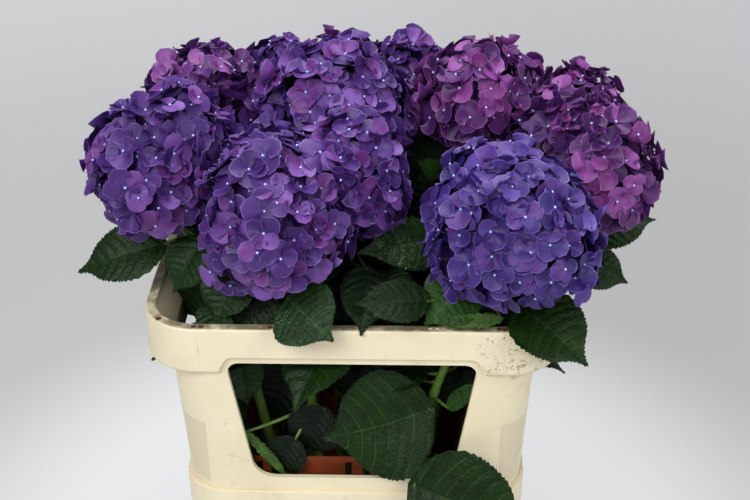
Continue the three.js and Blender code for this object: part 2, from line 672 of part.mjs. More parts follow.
const plastic = new THREE.MeshStandardMaterial({ color: 0xe8dec2, roughness: 0.5, metalness: 0 });
const terracotta = new THREE.MeshStandardMaterial({ color: 0x9a4a20, roughness: 0.6, metalness: 0 });
const stemGreen = new THREE.MeshStandardMaterial({ color: 0x7ba045, roughness: 0.6, metalness: 0 });
const leafGreen = new THREE.MeshStandardMaterial({ color: 0x2c5a34, roughness: 0.6, metalness: 0 });
const petalViolet = new THREE.MeshStandardMaterial({ color: 0x5f3c9a, roughness: 0.7, metalness: 0 });

const group = new THREE.Group();
group.name = 'hydrangea_tub';

function addNode(name, body, material) {
  const mesh = new THREE.Mesh(geometryOf(body), material);
  mesh.name = name;
  group.add(mesh);
}

const collar = makeCollar();
const bucket = makeBucket();
const tray = makeTray();
keep('collar', collar);
keep('bucket', bucket);
keep('tray', tray);
addNode('collar', collar, plastic);
addNode('bucket', bucket, plastic);
addNode('inner_tray', tray, terracotta);

const twoDigits = (number) => String(number).padStart(2, '0');

for (const stem of stems) {
  stem.limb = makeStem(stem);
  keep(`stem_${stem.number}`, stem.limb);
  addNode(`stem_${twoDigits(stem.number)}`, stem.limb, stemGreen);
}
for (const stem of stems) {
  const bloom = makeBloom(stem);
  keep(`bloom_${stem.number}`, bloom);
  addNode(`bloom_${twoDigits(stem.number)}`, bloom, petalViolet);
}
for (const stem of stems) {
  stem.leaves = [limb(stem.path, STEM_TIP, NECK, STEM_SIDES, 5)];
  keep(`foliage_${stem.number}`, stem.leaves[0]);
}
stems.forEach(growSingleLeaves);
stems.forEach(growLeafPairs);
for (const stem of stems) {
  const foliage = largestPiece(wasm.Manifold.union(stem.leaves));
  addNode(`foliage_${twoDigits(stem.number)}`, foliage, leafGreen);
}

export default group;
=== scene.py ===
import functools
import math

import bmesh
import bpy
import numpy as np
from mathutils import Matrix, Vector


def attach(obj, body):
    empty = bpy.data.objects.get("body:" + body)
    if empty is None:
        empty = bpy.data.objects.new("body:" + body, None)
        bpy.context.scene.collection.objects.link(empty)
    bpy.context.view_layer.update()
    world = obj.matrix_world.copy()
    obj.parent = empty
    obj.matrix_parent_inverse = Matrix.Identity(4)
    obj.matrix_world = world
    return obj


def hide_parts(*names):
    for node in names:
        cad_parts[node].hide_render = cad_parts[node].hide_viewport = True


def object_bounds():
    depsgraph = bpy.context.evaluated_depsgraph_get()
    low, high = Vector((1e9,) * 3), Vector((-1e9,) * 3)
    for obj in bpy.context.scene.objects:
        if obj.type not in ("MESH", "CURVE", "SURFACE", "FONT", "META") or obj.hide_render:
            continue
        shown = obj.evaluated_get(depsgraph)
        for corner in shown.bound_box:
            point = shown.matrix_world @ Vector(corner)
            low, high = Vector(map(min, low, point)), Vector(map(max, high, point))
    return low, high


# Finish of a bunch of mophead hydrangeas in a windowed flower tub. Sizes are in millimetres and
# become metres in the meshes; the origin is the middle of the tub's underside, its front faces -Y.

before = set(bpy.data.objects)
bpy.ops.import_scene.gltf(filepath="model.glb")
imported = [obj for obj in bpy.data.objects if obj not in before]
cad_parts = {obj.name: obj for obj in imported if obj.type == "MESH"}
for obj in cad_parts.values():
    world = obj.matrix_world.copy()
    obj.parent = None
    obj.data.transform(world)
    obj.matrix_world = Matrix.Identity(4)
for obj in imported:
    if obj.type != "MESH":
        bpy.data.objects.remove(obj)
solid_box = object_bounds()

MM = 0.001

# ---------- sizes of the tub, as in the solid model ----------

GAP = 0.3
TUB_HEIGHT = 380
JOINT_HEIGHT = 182
RIM_X, RIM_Y, RIM_RADIUS, RIM_FACE = 200, 150, 54, 10
BAND_CORNER, BAND_WINDOW = 50, 31
NOTCH_LOW, NOTCH_HIGH = 130.5, 118.5
COLLAR_TOP = (178, 146)
COLLAR_LOW = (168, 135)
COLLAR_RADIUS = 42
WALL = 4.5
FUNNEL_START, FUNNEL_END = 352, 374
LIP_DEPTH, LIP_WALL, LIP_EASE, LIP_ROOT = 12, 3, 0.6, 6
WINDOW_TOP, WINDOW_LOW = 340, 199
WINDOW_HALF_TOP, WINDOW_HALF_LOW = 120, 97
SIDE_DROP, SIDE_HALF_TOP, SIDE_HALF_LOW = 14, 84, 66
WINDOW_ROUND_TOP, WINDOW_ROUND_LOW, SIDE_ROUND_LOW = 13, 20, 11
PANEL_TOP, PANEL_FOOT, PANEL_X, PANEL_Y, PANEL_DEPTH = 266, 8, 144, 112, 1.6
RIM_HOLES, RIM_HOLE_HALF, RIM_HOLE_DEPTH = (-147, -140, -75, 74, 80), (1.8, 1.5), 3
BUCKET_RIM = (172, 139)
BUCKET_RIM_HEIGHT = 32
BUCKET_TOP = (168.5, 135.5)
BUCKET_LOW = (152, 113)
BUCKET_RADIUS, BUCKET_WALL, BUCKET_FLOOR, FOOT_STEP, FOOT_INSET = 40, 4, 4, 5, 3
TRAY_HEIGHT = 210
TRAY_TOP = (146, 118)
TRAY_LOW = (141, 102)
TRAY_RADIUS, TRAY_WALL, TRAY_FLOOR = 30, 3, 4
SLOT_WIDTH, SLOT_PITCH, SLOT_LOW, SLOT_TOP = 6.5, 18, 70, 204
SLOT_STARTS, SLOTS_IN_GROUP, SIDE_SLOT_START, SIDE_SLOTS = (-6, -114), 4, -36, 5
WELD = 0.02               # distance at which corners become one
FLAT, SOFT, SHARP = 0.6, 38, 32     # degrees: faces that become one, rounded edges, edges that shade sharp

# ---------- sizes of the plants ----------

STEM_FOOT, STEM_TIP, NECK = 6.2, 4.8, 3.9
LEAF_LENGTH, LEAF_WIDTH = 112, 82
PETIOLE, PETIOLE_RADIUS = 26, 2
PETIOLE_TAPER = (1.25, 1.0, 0.95, 0.9, 0.85, 0.8, 0.6)
FIRST_NODE, NODE_SPACING = 14, 46        # where pairs of leaves stand, down from a bloom
CROWN_X, CROWN_FRONT, CROWN_BACK = 245, 190, 262
STEM_BEND = 0.36
FRESH_STEMS = (11,)       # stems in a brighter green than the rest
LEAF_SEED, LEAF_SEED_STEP = 15485863, 7919
LEAF_DETAIL_SEED, FLORET_SEED = 4127, 90210
GOLDEN_ANGLE = 2.399963

# Rounds of smaller leaves between the pairs: shift down the stem, size and shift of the seed.
INNER_ROUNDS = [(0.5, 0.72, 40), (0.2, 0.66, 80)]
INNER_SPACING = 0.8       # their spacing against that of the pairs
INNER_ROOM, INNER_LOW = (156, 120), 392  # half the room in the tub, and the height from which it is free
INNER_HIGH, INNER_BACK, INNER_FRONT = 470, 215, 150      # the highest, and the farthest from the middle
DARK_PAIRED, DARK_INNER = 0.45, 0.8      # share of dark leaves in the pairs and between them; the dark tone is partly painted shade, most of all for the leaves between the pairs, deep under the blooms

VEINS = 8                 # side veins in each half of a leaf
ROWS_BETWEEN = 4          # rows of faces between two side veins
VEIN_HALF = 0.003         # half width of a side vein against the leaf's length
QUILT = 0.017             # height of the bulges between veins against the leaf's length
VEIN_SLANT = 0.3          # how far a side vein runs towards the tip
LEAF_NET = 190.0          # meshes of the net of fine veins in a metre

# Outer florets and the sunken ones that close their gaps: surface of the ball for one floret, how
# deep they lie against a sepal's length, and how unevenly.
LAYERS = ((430, 0.2, 4.0), (900, 0.75, 3.0))
TONE_SHARES = (0.42, 0.16, 0.26, 0.16)   # how often a floret has each of its family's tones
FLORET_TILT = 0.38        # how unevenly the florets face outwards
MOST_TILT = 0.55          # and the most that one of them may lean
UPTURN = 0.4              # how far the florets low on a bloom turn upwards
OPEN_BELOW = -0.72        # how far down a ball the florets reach, against its radius
SEPAL_LENGTH, SEPAL_GROWTH = 12.4, 0.075     # a sepal's length, and how it grows with the bloom's radius
LOBE_FLORET_AREA = 620    # surface of a lobe for one of its florets
BUD_RADIUS, BUD_LIFT, PEDICEL_RADIUS = 1.25, 1.3, 0.75
HEART_DEPTH = 25          # how deep under a bloom's surface its dark heart lies, a ball in painted shade that fills the bloom's shaded inside
LUMPS = 0.04              # height of a bloom's lumps against its radius
VALLEY = 34               # how near to a neighbour a bloom starts to swell towards it

# Florets on long stalks that hang under a bloom, by the bloom's number.
HANGING = {3: [(-128, -136, 434), (-110, -142, 424), (-90, -146, 432), (-126, -126, 452), (-106, -146, 440)]}

# Where a bloom bulges, or is flattened, by its number: the direction from its middle and the height.
BULGES = {
    1: [((0.25, 0.1, 1), 17), ((0.8, 0, 0.5), 14), ((-0.75, -0.2, 0.6), -8), ((-1, -0.2, 0.1), 4)],
    2: [((0, 0, 1), -8), ((0.8, -0.3, 0.1), 8)],
    3: [((-0.75, -0.4, -0.55), 9), ((0.15, -0.5, -0.85), -13), ((0.8, -0.4, -0.4), 5),
        ((-1, -0.1, 0.2), -6), ((-0.35, 0.3, 0.88), 16)],
    4: [((0.7, -0.3, -0.6), -6)],
    5: [((-0.9, -0.3, 0.3), 8)],
    8: [((-0.6, -0.6, 0.1), -4), ((0.2, 0, 1), 3), ((0, -0.6, -0.8), -10)],
    11: [((0.75, -0.2, 0.65), -12), ((0.05, -0.5, -0.87), -9), ((0, 0.45, 0.9), -13), ((-0.75, 0.3, 0.6), 10),
         ((0.8, -0.2, 0.4), -4), ((0.85, -0.35, -0.4), 10)],
    14: [((0.1, 0, 1), -14)],
}

# Deep florets that close the gaps between blooms: the bloom, the middle of the lobe and its radius.
LOBES = [(2, (-122, 6, 512), 44), (3, (-114, -62, 506), 32), (5, (-66, -40, 500), 52),
         (10, (182, -20, 500), 50), (8, (76, 74, 512), 44), (1, (-150, -20, 490), 44),
         (1, (-160, -66, 534), 46)]

# Every row is one stem: the middle and radius of its bloom, the way the bloom tips, its foot in the
# tray, the top of its bare stem, its pairs of leaves and the colour family of its petals.
STEMS = [
    ((-184, -70, 512), 63, (-0.3, -0.12, 1), (-52, -60), (-104, -66, 272), 3, "purple"),
    ((-156, 60, 531), 53, (-0.15, 0.05, 1), (-84, 42), (-115, 51, 250), 5, "plum"),
    ((-67, -120, 486), 70, (-0.08, -0.5, 1), (-22, -82), (-42, -88, 246), 2, "purple"),
    ((-4, -75, 500), 60, (0, -0.25, 1), (8, -56), (5, -64, 250), 5, "purple"),
    ((-19, 12, 535), 69, (0, 0, 1), (-20, 2), (-20, 7, 250), 6, "purple"),
    ((-84, 130, 522), 43, (0, 0.15, 1), (-56, 70), (-72, 98, 320), 3, "purple"),
    ((47, 120, 528), 45, (0, 0.1, 1), (26, 66), (36, 92, 320), 3, "purple"),
    ((115, 20, 543), 57, (0.05, 0, 1), (64, 14), (85, 17, 250), 5, "magenta"),
    ((219, 70, 506), 49, (0.4, 0.05, 1), (98, 42), (144, 56, 310), 2, "magenta"),
    ((227, -30, 492), 65, (0.4, -0.05, 1), (104, -18), (142, -24, 284), 4, "magenta"),
    ((149, -130, 481), 79, (0.25, -0.45, 1), (37, -84), (70, -90, 226), 3, "violet"),
    ((-165, 158, 478), 58, (-0.2, 0.4, 1), (-108, 62), (-123, 82, 250), 5, "purple"),
    ((-25, 188, 482), 60, (0, 0.6, 1), (-16, 74), (-19, 96, 250), 3, "magenta"),
    ((148, 160, 486), 57, (0.15, 0.45, 1), (72, 74), (99, 91, 250), 5, "magenta"),
    ((226, 138, 462), 46, (0.6, 0.3, 1), (112, 62), (140, 84, 290), 2, "plum"),
    ((-226, 60, 464), 48, (-0.6, 0.05, 1), (-112, 18), (-144, 34, 296), 2, "violet"),
]

# Single leaves: stem, base and tip of the blade, width, the way its face looks and its finish.
SINGLE_LEAVES = [
    # over the rim, beside the blooms and in the windows
    (1, (-180, -62, 424), (-272, -64, 391), 58, (-0.1, -0.7, 0.7), "mid"),
    (1, (-140, -88, 444), (-172, -106, 392), 50, (-0.4, -0.8, 0.4), "mid"),
    (3, (-108, -100, 420), (-128, -132, 374), 54, (-0.2, -0.8, 0.5), "mid"),
    (3, (-60, -137, 408), (-14, -175, 384), 70, (0, -0.85, 0.5), "grey"),
    (4, (14, -104, 424), (10, -155, 377), 48, (0.1, -0.75, 0.6), "dark"),
    (11, (74, -140, 407), (3, -158, 414), 42, (0, -0.75, 0.65), "dark"),
    (8, (84, -66, 428), (6, -118, 446), 54, (0.1, -0.75, 0.65), "grey"),
    (11, (112, -118, 418), (68, -146, 384), 60, (-0.1, -0.75, 0.65), "fresh"),
    (11, (154, -121, 394), (219, -172, 358), 76, (0.2, -0.6, 0.75), "mid"),
    (10, (150, -50, 318), (212, -72, 284), 30, (0.2, -0.6, 0.8), "dark"),
    (10, (222, 14, 398), (306, 22, 411), 58, (0.1, -0.6, 0.8), "mid"),
    (10, (212, -48, 404), (268, -60, 382), 46, (0.3, -0.8, 0.5), "mid"),
    (1, (-142, -52, 322), (-206, -74, 296), 28, (-0.2, -0.5, 0.8), "mid"),
    (11, (80, -112, 268), (-31, -122, 236), 116, (0, -0.95, 0.3), "mid"),
    (11, (54, -150, 202), (178, -190, 180), 106, (0.1, -0.9, 0.42), "mid"),
    (3, (-110, -118, 244), (-64, -124, 186), 10, (0.3, -0.85, 0.4), "under"),
    (1, (-116, -94, 326), (-106, -104, 262), 44, (0.2, -0.95, 0.2), "mid"),
    (11, (92, -108, 264), (124, -112, 301), 18, (0.3, -0.6, 0.8), "fresh"),
    (3, (-28, -98, 258), (-56, -104, 206), 58, (0, -0.9, 0.4), "shade"),
    # behind these, in the shade of the blooms
    (8, (98, 36, 484), (36, 30, 424), 86, (0, -0.85, 0.4), "dark"),
    (8, (104, 28, 452), (60, 8, 386), 80, (0, -0.8, 0.5), "dark"),
    (8, (84, 2, 468), (59, -16, 493), 20, (0, -0.8, 0.5), "fresh"),
    (1, (-132, -50, 392), (-176, -44, 330), 66, (-0.1, -0.85, 0.5), "dark"),
    (1, (-126, -66, 372), (-128, -100, 318), 56, (-0.1, -0.9, 0.4), "mid"),
    (16, (-166, 44, 372), (-150, 8, 312), 70, (-0.2, -0.85, 0.4), "dark"),
    (2, (-122, 40, 396), (-158, 6, 352), 72, (-0.1, -0.8, 0.5), "dark"),
    (3, (-80, -96, 396), (-112, -118, 352), 54, (0, -0.85, 0.5), "dark"),
    (4, (0, -66, 392), (-36, -84, 352), 60, (0, -0.8, 0.5), "dark"),
    (5, (-20, 4, 420), (10, -30, 366), 76, (0, -0.8, 0.5), "dark"),
    (11, (142, -145, 392), (72, -146, 387), 14, (0, -0.8, 0.4), "under"),
    (10, (160, -44, 372), (132, -84, 340), 56, (0, -0.8, 0.6), "dark"),
    (3, (-17, -70, 322), (-72, -80, 276), 64, (0, -0.9, 0.4), "shade"),
    (3, (-52, -50, 280), (-98, -60, 214), 74, (0, -0.9, 0.3), "shade"),
    (11, (118, -66, 320), (96, -78, 232), 78, (0, -0.9, 0.3), "shade"),
    (4, (20, -60, 320), (-10, -70, 240), 78, (0, -0.9, 0.3), "shade"),
    (4, (26, -104, 404), (38, -124, 366), 50, (0, -0.9, 0.4), "shade"),
    (3, (-58, -112, 230), (-84, -118, 190), 46, (0, -0.95, 0.3), "shade"),
]

UP = np.array((0.0, 0.0, 1.0))
FRONT = np.array((0.0, -1.0, 0.0))
MOST_QUADS = 95000        # faces that one joined piece may have


# ---------- small tools ----------

def tint(red, green, blue):
    """A display colour from 0 to 255 as the linear colour that a shader takes."""
    shares = [value / 255 for value in (red, green, blue)]
    linear = [s / 12.92 if s <= 0.04045 else ((s + 0.055) / 1.055) ** 2.4 for s in shares]
    return (*linear, 1.0)


def unit(vector):
    vector = np.asarray(vector, float)
    return vector / np.linalg.norm(vector)


def seeded_random(seed):
    """The same series of numbers from 0 to 1 as the solid model uses."""
    state = seed
    while True:
        state = state * 16807 % 2147483647
        yield state / 2147483647


def placed(name, data):
    """A new object in the scene."""
    made = bpy.data.objects.new(name, data)
    bpy.context.collection.objects.link(made)
    return made


def evaluated(made):
    """The mesh of an object with its modifiers applied, or of a curve."""
    graph = bpy.context.evaluated_depsgraph_get()
    return bpy.data.meshes.new_from_object(made.evaluated_get(graph))


def finished(name, mesh, materials, nodes):
    """Puts a mesh in the scene as a piece that stands for CAD nodes."""
    for material in materials:
        mesh.materials.append(material)
    piece = placed(name, mesh)
    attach(piece, "root")
    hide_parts(*nodes)
    return piece


def template(form):
    """Points and faces of a small bmesh as arrays, ready to be repeated."""
    form.verts.ensure_lookup_table()
    points = np.array([vertex.co[:] for vertex in form.verts])
    faces = np.array([[vertex.index for vertex in face.verts] for face in form.faces])
    form.free()
    return points, faces


SPACE = np.array([solid_box[0], solid_box[1]], float) / MM + np.array([[0.5], [-0.5]])


def kept_inside(points):
    """Points moved as one so that none of them lies outside the box round the solid model."""
    inward = np.maximum(SPACE[0] - points.min(axis=0), 0) + np.minimum(SPACE[1] - points.max(axis=0), 0)
    return points + inward


def joined(name, parts, materials, nodes):
    """One piece from many small meshes, each given as points, faces and their material numbers."""
    starts = np.cumsum([0] + [len(part[0]) for part in parts[:-1]])
    points = np.concatenate([part[0] for part in parts]) * MM
    faces = np.concatenate([part[1] + start for part, start in zip(parts, starts)])
    finishes = np.concatenate([part[2] for part in parts])
    corners = faces.shape[1]
    mesh = bpy.data.meshes.new(name)
    mesh.vertices.add(len(points))
    mesh.vertices.foreach_set("co", points.astype(np.float32).ravel())
    mesh.loops.add(faces.size)
    mesh.loops.foreach_set("vertex_index", faces.astype(np.int32).ravel())
    mesh.polygons.add(len(faces))
    mesh.polygons.foreach_set("loop_start", np.arange(0, faces.size, corners, dtype=np.int32))
    mesh.polygons.foreach_set("material_index", finishes.astype(np.int32))
    mesh.update(calc_edges=True)
    mesh.shade_smooth()
    return finished(name, mesh, materials, nodes)


# ---------- materials ----------

class Nodes:
    """A shader tree with short ways to add nodes; most of them return the socket with the result."""

    def __init__(self, tree):
        self.tree = tree

    def put(self, socket, value):
        """Joins a socket to another one or sets its value; a colour may be given as 0 to 255."""
        if isinstance(value, bpy.types.NodeSocket):
            self.tree.links.new(value, socket)
        else:
            shown = socket.type == "RGBA" and len(value) == 3
            socket.default_value = tint(*value) if shown else value

    def add(self, kind, inputs, **settings):
        """A node with its options and inputs set; returns all its outputs."""
        made = self.tree.nodes.new("ShaderNode" + kind)
        for option, value in settings.items():
            setattr(made, option, value)
        for name, value in inputs.items():
            self.put(made.inputs[name], value)
        return made.outputs

    def math(self, operation, *values):
        return self.add("Math", dict(enumerate(values)), operation=operation)[0]

    def vector(self, operation, *values):
        return self.add("VectorMath", dict(enumerate(values)), operation=operation)

    def times(self, first, *others):
        """Masks and shares multiplied together."""
        for other in others:
            first = self.math("MULTIPLY", first, other)
        return first

    def rise(self, value, start, end):
        """0 below start and 1 above end, smooth between; the other way round if end is smaller."""
        return self.add("MapRange", {"Value": value, "From Min": start, "From Max": end},
                        interpolation_type="SMOOTHSTEP")["Result"]

    def past(self, length, place, softness):
        """1 past a place in millimetres and 0 before it; the other way round if softness is negative."""
        return self.rise(length, (place - softness) * MM, (place + softness) * MM)

    def mix(self, mask, below, above):
        """One colour laid over another where a mask says so."""
        return self.add("Mix", {0: mask, 6: below, 7: above}, data_type="RGBA")[2]

    def noise(self, position, scale, detail, **more):
        return self.add("TexNoise", {"Vector": position, "Scale": scale, "Detail": detail, **more})

    def bump(self, height, strength, distance, **more):
        return self.add("Bump", {"Height": height, "Strength": strength, "Distance": distance, **more})[0]


SOCKET_KINDS = {"Position": "Vector", "Base": "Color", "Other": "Color", "Color": "Color", "Normal": "Vector"}


def effect_group(name, labels, result):
    """A shader node group with a position and other inputs, and one output."""
    tree = bpy.data.node_groups.new(name, "ShaderNodeTree")
    for label, way in (("Position", "INPUT"), *((label, "INPUT") for label in labels), (result, "OUTPUT")):
        kind = "NodeSocket" + SOCKET_KINDS.get(label, "Float")
        tree.interface.new_socket(label, in_out=way, socket_type=kind)
    given = tree.nodes.new("NodeGroupInput").outputs
    return Nodes(tree), given, tree.nodes.new("NodeGroupOutput").inputs[0]


def build_mottle():
    """Soft clouds of a second colour over a base colour."""
    make, given, result = effect_group("mottle", ("Base", "Other", "Scale", "Low", "High", "Share"), "Color")
    clouds = make.noise(given["Position"], given["Scale"], 5)["Fac"]
    mask = make.add("MapRange", {"Value": clouds, "From Min": given["Low"], "From Max": given["High"],
                                 "To Max": given["Share"]}, interpolation_type="SMOOTHSTEP")["Result"]
    make.put(result, make.mix(mask, given["Base"], given["Other"]))
    return make.tree


def build_specks():
    """Small spots that lie scattered in patches."""
    make, given, result = effect_group("specks", ("Scale", "Size", "Patches"), "Mask")
    away = make.add("TexVoronoi", {"Vector": given["Position"], "Scale": given["Scale"]})["Distance"]
    patches = make.noise(given["Position"], given["Patches"], 2)["Fac"]
    size = make.add("MapRange", {"Value": patches, "From Min": 0.45, "From Max": 0.65,
                                 "To Max": given["Size"]})["Result"]
    make.put(result, make.math("LESS_THAN", away, size))
    return make.tree


def build_scuffs():
    """Thin broken scratches that run in all directions."""
    make, given, result = effect_group("scuffs", ("Scale", "Width", "Share"), "Mask")
    warp = make.noise(given["Position"], given["Scale"], 6, Distortion=1.5)["Fac"]
    away = make.math("ABSOLUTE", make.math("SUBTRACT", warp, 0.5))
    there = make.math("GREATER_THAN", make.noise(given["Position"], 14, 3)["Fac"], given["Share"])
    make.put(result, make.times(make.math("LESS_THAN", away, given["Width"]), there))
    return make.tree


def build_grain():
    """A fine uneven relief that turns the surface's normal."""
    make, given, result = effect_group("grain", ("Scale", "Height", "Depth"), "Normal")
    relief = make.noise(given["Position"], given["Scale"], 3)["Fac"]
    make.put(result, make.bump(relief, given["Height"], given["Depth"]))
    return make.tree


EFFECTS = {
    "mottle": build_mottle(), "specks": build_specks(), "scuffs": build_scuffs(), "grain": build_grain(),
}


class Finish(Nodes):
    """A material in the making: its nodes, its shader's inputs, and the place and normal on the piece."""

    def __init__(self, name, roughness, specular):
        self.material = bpy.data.materials.new(name)
        self.material.use_nodes = True
        super().__init__(self.material.node_tree)
        self.shader = self.tree.nodes["Principled BSDF"].inputs
        places = self.add("TexCoord", {})
        self.position, self.normal = places["Object"], places["Normal"]
        self.put(self.shader["Roughness"], roughness)
        self.put(self.shader["Specular IOR Level"], specular)

    def use(self, effect, **inputs):
        """A shared effect at the place on the piece; its inputs are named in small letters."""
        named = {label.capitalize(): value for label, value in inputs.items()}
        return self.add("Group", {"Position": self.position, **named}, node_tree=EFFECTS[effect])[0]

    def mottle(self, base, other, scale, low, high, share):
        return self.use("mottle", base=base, other=other, scale=scale, low=low, high=high, share=share)

    def grain(self, scale, height, depth, **more):
        return self.use("grain", scale=scale, height=height, depth=depth, **more)

    def near(self, point, radius, softness):
        """1 within a radius of a point on the piece and 0 outside."""
        away = self.vector("DISTANCE", self.position, tuple(v * MM for v in point))["Value"]
        return self.past(away, radius, -softness)

    def done(self, colour, normal):
        """The material, with its colour and its normal joined to the shader."""
        self.put(self.shader["Base Color"], colour)
        self.put(self.shader["Normal"], normal)
        return self.material


# Display colours of the tub: its plastic, and the dirt and wear on it, with painted shade mixed into the
# darker tones inside it.
CREAM, CREAM_DULL, PANEL_CREAM = (243, 232, 200), (234, 221, 186), (224, 211, 180)
GRIME_AND_SHADE, RIM_DIRT, WALL_DIRT_AND_SHADE, DUST = (112, 98, 70), (116, 106, 74), (138, 116, 84), (110, 92, 62)
SCUFF, CRACK, SEAM, RUST = (150, 134, 100), (132, 116, 84), (178, 164, 130), (96, 34, 22)
TERRACOTTA, TERRACOTTA_DARK, TRAY_DUST = (130, 58, 26), (102, 44, 20), (132, 84, 58)

RIM_STAINS = [(-182, -131, 380), (138, -144.5, 379), (143, -144.5, 379), (-147, -144.5, 379),
              (-140, -144.5, 379), (-75, -144.5, 379)]
GOUGES_AT = (156, -146, 355)


def tub_finish(name, dirt_and_shade):
    """Used cream plastic: cloudy tone, grime on the rim's top face, scuffs, a gouged corner and stains; its
    inner walls darken and brown downwards, and its inner faces may take more grime, both partly dirt and
    partly painted shade.
    """
    make = Finish(name, 0.42, 0.4)
    x, y, z = make.add("SeparateXYZ", {0: make.position})
    aside, forward = make.math("ABSOLUTE", x), make.math("ABSOLUTE", y)
    patchy = make.noise(make.position, 60, 6)["Fac"]
    upward = make.rise(make.add("SeparateXYZ", {0: make.normal})["Z"], 0.7, 0.95)
    on_top = make.times(make.past(z, TUB_HEIGHT - 2.25, 1.25), upward)
    level = make.vector("MULTIPLY", make.normal, (1, 1, 0))[0]
    facing = make.vector("DOT_PRODUCT", level, make.position)["Value"]
    inside = make.times(make.past(facing, -130, -5), make.past(z, TUB_HEIGHT - 20, -25))
    worn = make.near(GOUGES_AT, 36, 12)
    chewed = make.noise(make.position, 230, 8, Distortion=1.2)["Fac"]
    spread = make.noise(make.position, 75, 2)["Fac"]
    cracks = make.times(worn, make.rise(chewed, 0.565, 0.6), make.rise(spread, 0.42, 0.56))
    panel = make.times(make.past(aside, PANEL_X, 0.5), make.past(forward, PANEL_Y, 0.5),
                       make.past(z, PANEL_TOP, -0.5), make.past(z, JOINT_HEIGHT + PANEL_FOOT, 0.5))
    off_seam = make.math("ABSOLUTE", make.math("SUBTRACT", aside, (PANEL_X - 0.5) * MM))
    seam = make.times(make.past(off_seam, 0.55, -0.25), make.past(z, TUB_HEIGHT - BAND_CORNER, 2))
    plastic = make.mottle(CREAM, CREAM_DULL, 16, 0.42, 0.66, 0.7)
    # grime clouds; the extra share that the inner faces take is partly dirt, partly painted shade
    colour = make.mottle(plastic, GRIME_AND_SHADE, 46, 0.58, 0.78, 0.16 + dirt_and_shade)
    layers = [
        (make.times(on_top, make.rise(patchy, 0.26, 0.58)), 0.88, RIM_DIRT),
        # inner walls darker and browner towards the bottom: partly dirt, partly painted shade
        (inside, 0.9, WALL_DIRT_AND_SHADE),
        (make.use("scuffs", scale=22, width=0.003, share=0.6), 0.2, SCUFF),
        (make.use("specks", scale=420, size=0.1, patches=12), 0.5, DUST),
        (cracks, 0.62, CRACK),
        *((make.near(spot, 2.8, 0.7), 0.92, RUST) for spot in RIM_STAINS),
        (panel, 0.75, PANEL_CREAM),
        (make.times(seam, make.rise(patchy, 0.5, 0.62)), 0.4, SEAM),
    ]
    for mask, share, tone in layers:
        colour = make.mix(make.times(mask, share), colour, tone)
    rough = make.add("MapRange", {"Value": patchy, "To Min": 0.34, "To Max": 0.56})["Result"]
    make.put(make.shader["Roughness"], rough)
    relief = make.math("ADD", make.times(worn, chewed), make.times(cracks, -0.8))
    height = make.math("ADD", relief, make.times(seam, -0.15))
    return make.done(colour, make.bump(height, 0.9, 0.0012, Normal=make.grain(520, 0.12, 0.0003)))


def tray_finish():
    """Matt terracotta plastic with a dusty bloom."""
    make = Finish("tray_plastic", 0.6, 0.3)
    tone = make.mottle(TERRACOTTA, TERRACOTTA_DARK, 24, 0.4, 0.65, 0.8)
    return make.done(make.mottle(tone, TRAY_DUST, 70, 0.56, 0.74, 0.3), make.grain(380, 0.2, 0.0004))


LENTICEL, POLLEN, SHEEN = (92, 62, 60), (164, 178, 158), (196, 170, 255)


def stem_finish(name, base, other):
    """A green stem with paler stretches, dark lenticels and fine lengthwise ribs."""
    make = Finish(name, 0.45, 0.4)
    lenticels = make.use("specks", scale=330, size=0.22, patches=30)
    colour = make.mix(make.times(lenticels, 0.55), make.mottle(base, other, 40, 0.4, 0.62, 0.9), LENTICEL)
    drawn_out = make.add("Mapping", {"Vector": make.position, "Scale": (1, 1, 0.12)})[0]
    return make.done(colour, make.grain(240, 0.35, 0.0006, position=drawn_out))


def leaf_finish(name, base, other, net, gloss, specks):
    """A leaf's blade or its veins: cloudy green, a net of fine veins, pale specks and a quilted relief."""
    make = Finish(name, gloss, 0.17)
    tone = make.mottle(base, other, 55, 0.38, 0.64, 0.85)
    warp = make.noise(make.position, 90, 2)["Color"]
    bent = make.vector("MULTIPLY_ADD", warp, (0.0025, 0.0025, 0.0025), make.position)[0]
    off_vein = make.add("TexVoronoi", {"Vector": bent, "Scale": LEAF_NET},
                        feature="DISTANCE_TO_EDGE")["Distance"]
    vein = make.math("SUBTRACT", 1, make.rise(off_vein, 0.03, 0.12))
    pollen = make.use("specks", scale=520, size=specks, patches=26)
    colour = make.mix(make.times(vein, 0.14), tone, net)
    colour = make.mix(make.times(pollen, 0.75), colour, POLLEN)
    skin = make.grain(420, 0.2, 0.0006)
    return make.done(colour, make.bump(make.rise(off_vein, 0, 0.3), 0.28, 0.0008, Normal=skin))


def petal_finish(name, base, other, roughness=0.5):
    """A petal's plain colour, with faint clouds, a soft sheen and a crinkled skin."""
    make = Finish(name, roughness, 0.38)
    for label, value in (("Weight", 0.04), ("Roughness", 0.4), ("Tint", SHEEN)):
        make.put(make.shader["Sheen " + label], value)
    return make.done(make.mottle(base, other, 95, 0.42, 0.64, 0.5), make.grain(420, 0.3, 0.0006))


# ---------- tub ----------

def round_off(form, edges, radius, steps):
    """Rounds edges of a block."""
    bmesh.ops.bevel(form, geom=edges, offset=radius, offset_type="OFFSET", segments=steps,
                    profile=0.5, affect="EDGES", material=-1)


def level_edges(form, z):
    """The edges of a block that lie at a height."""
    return [edge for edge in form.edges if all(abs(vertex.co.z - z) < 1e-3 for vertex in edge.verts)]


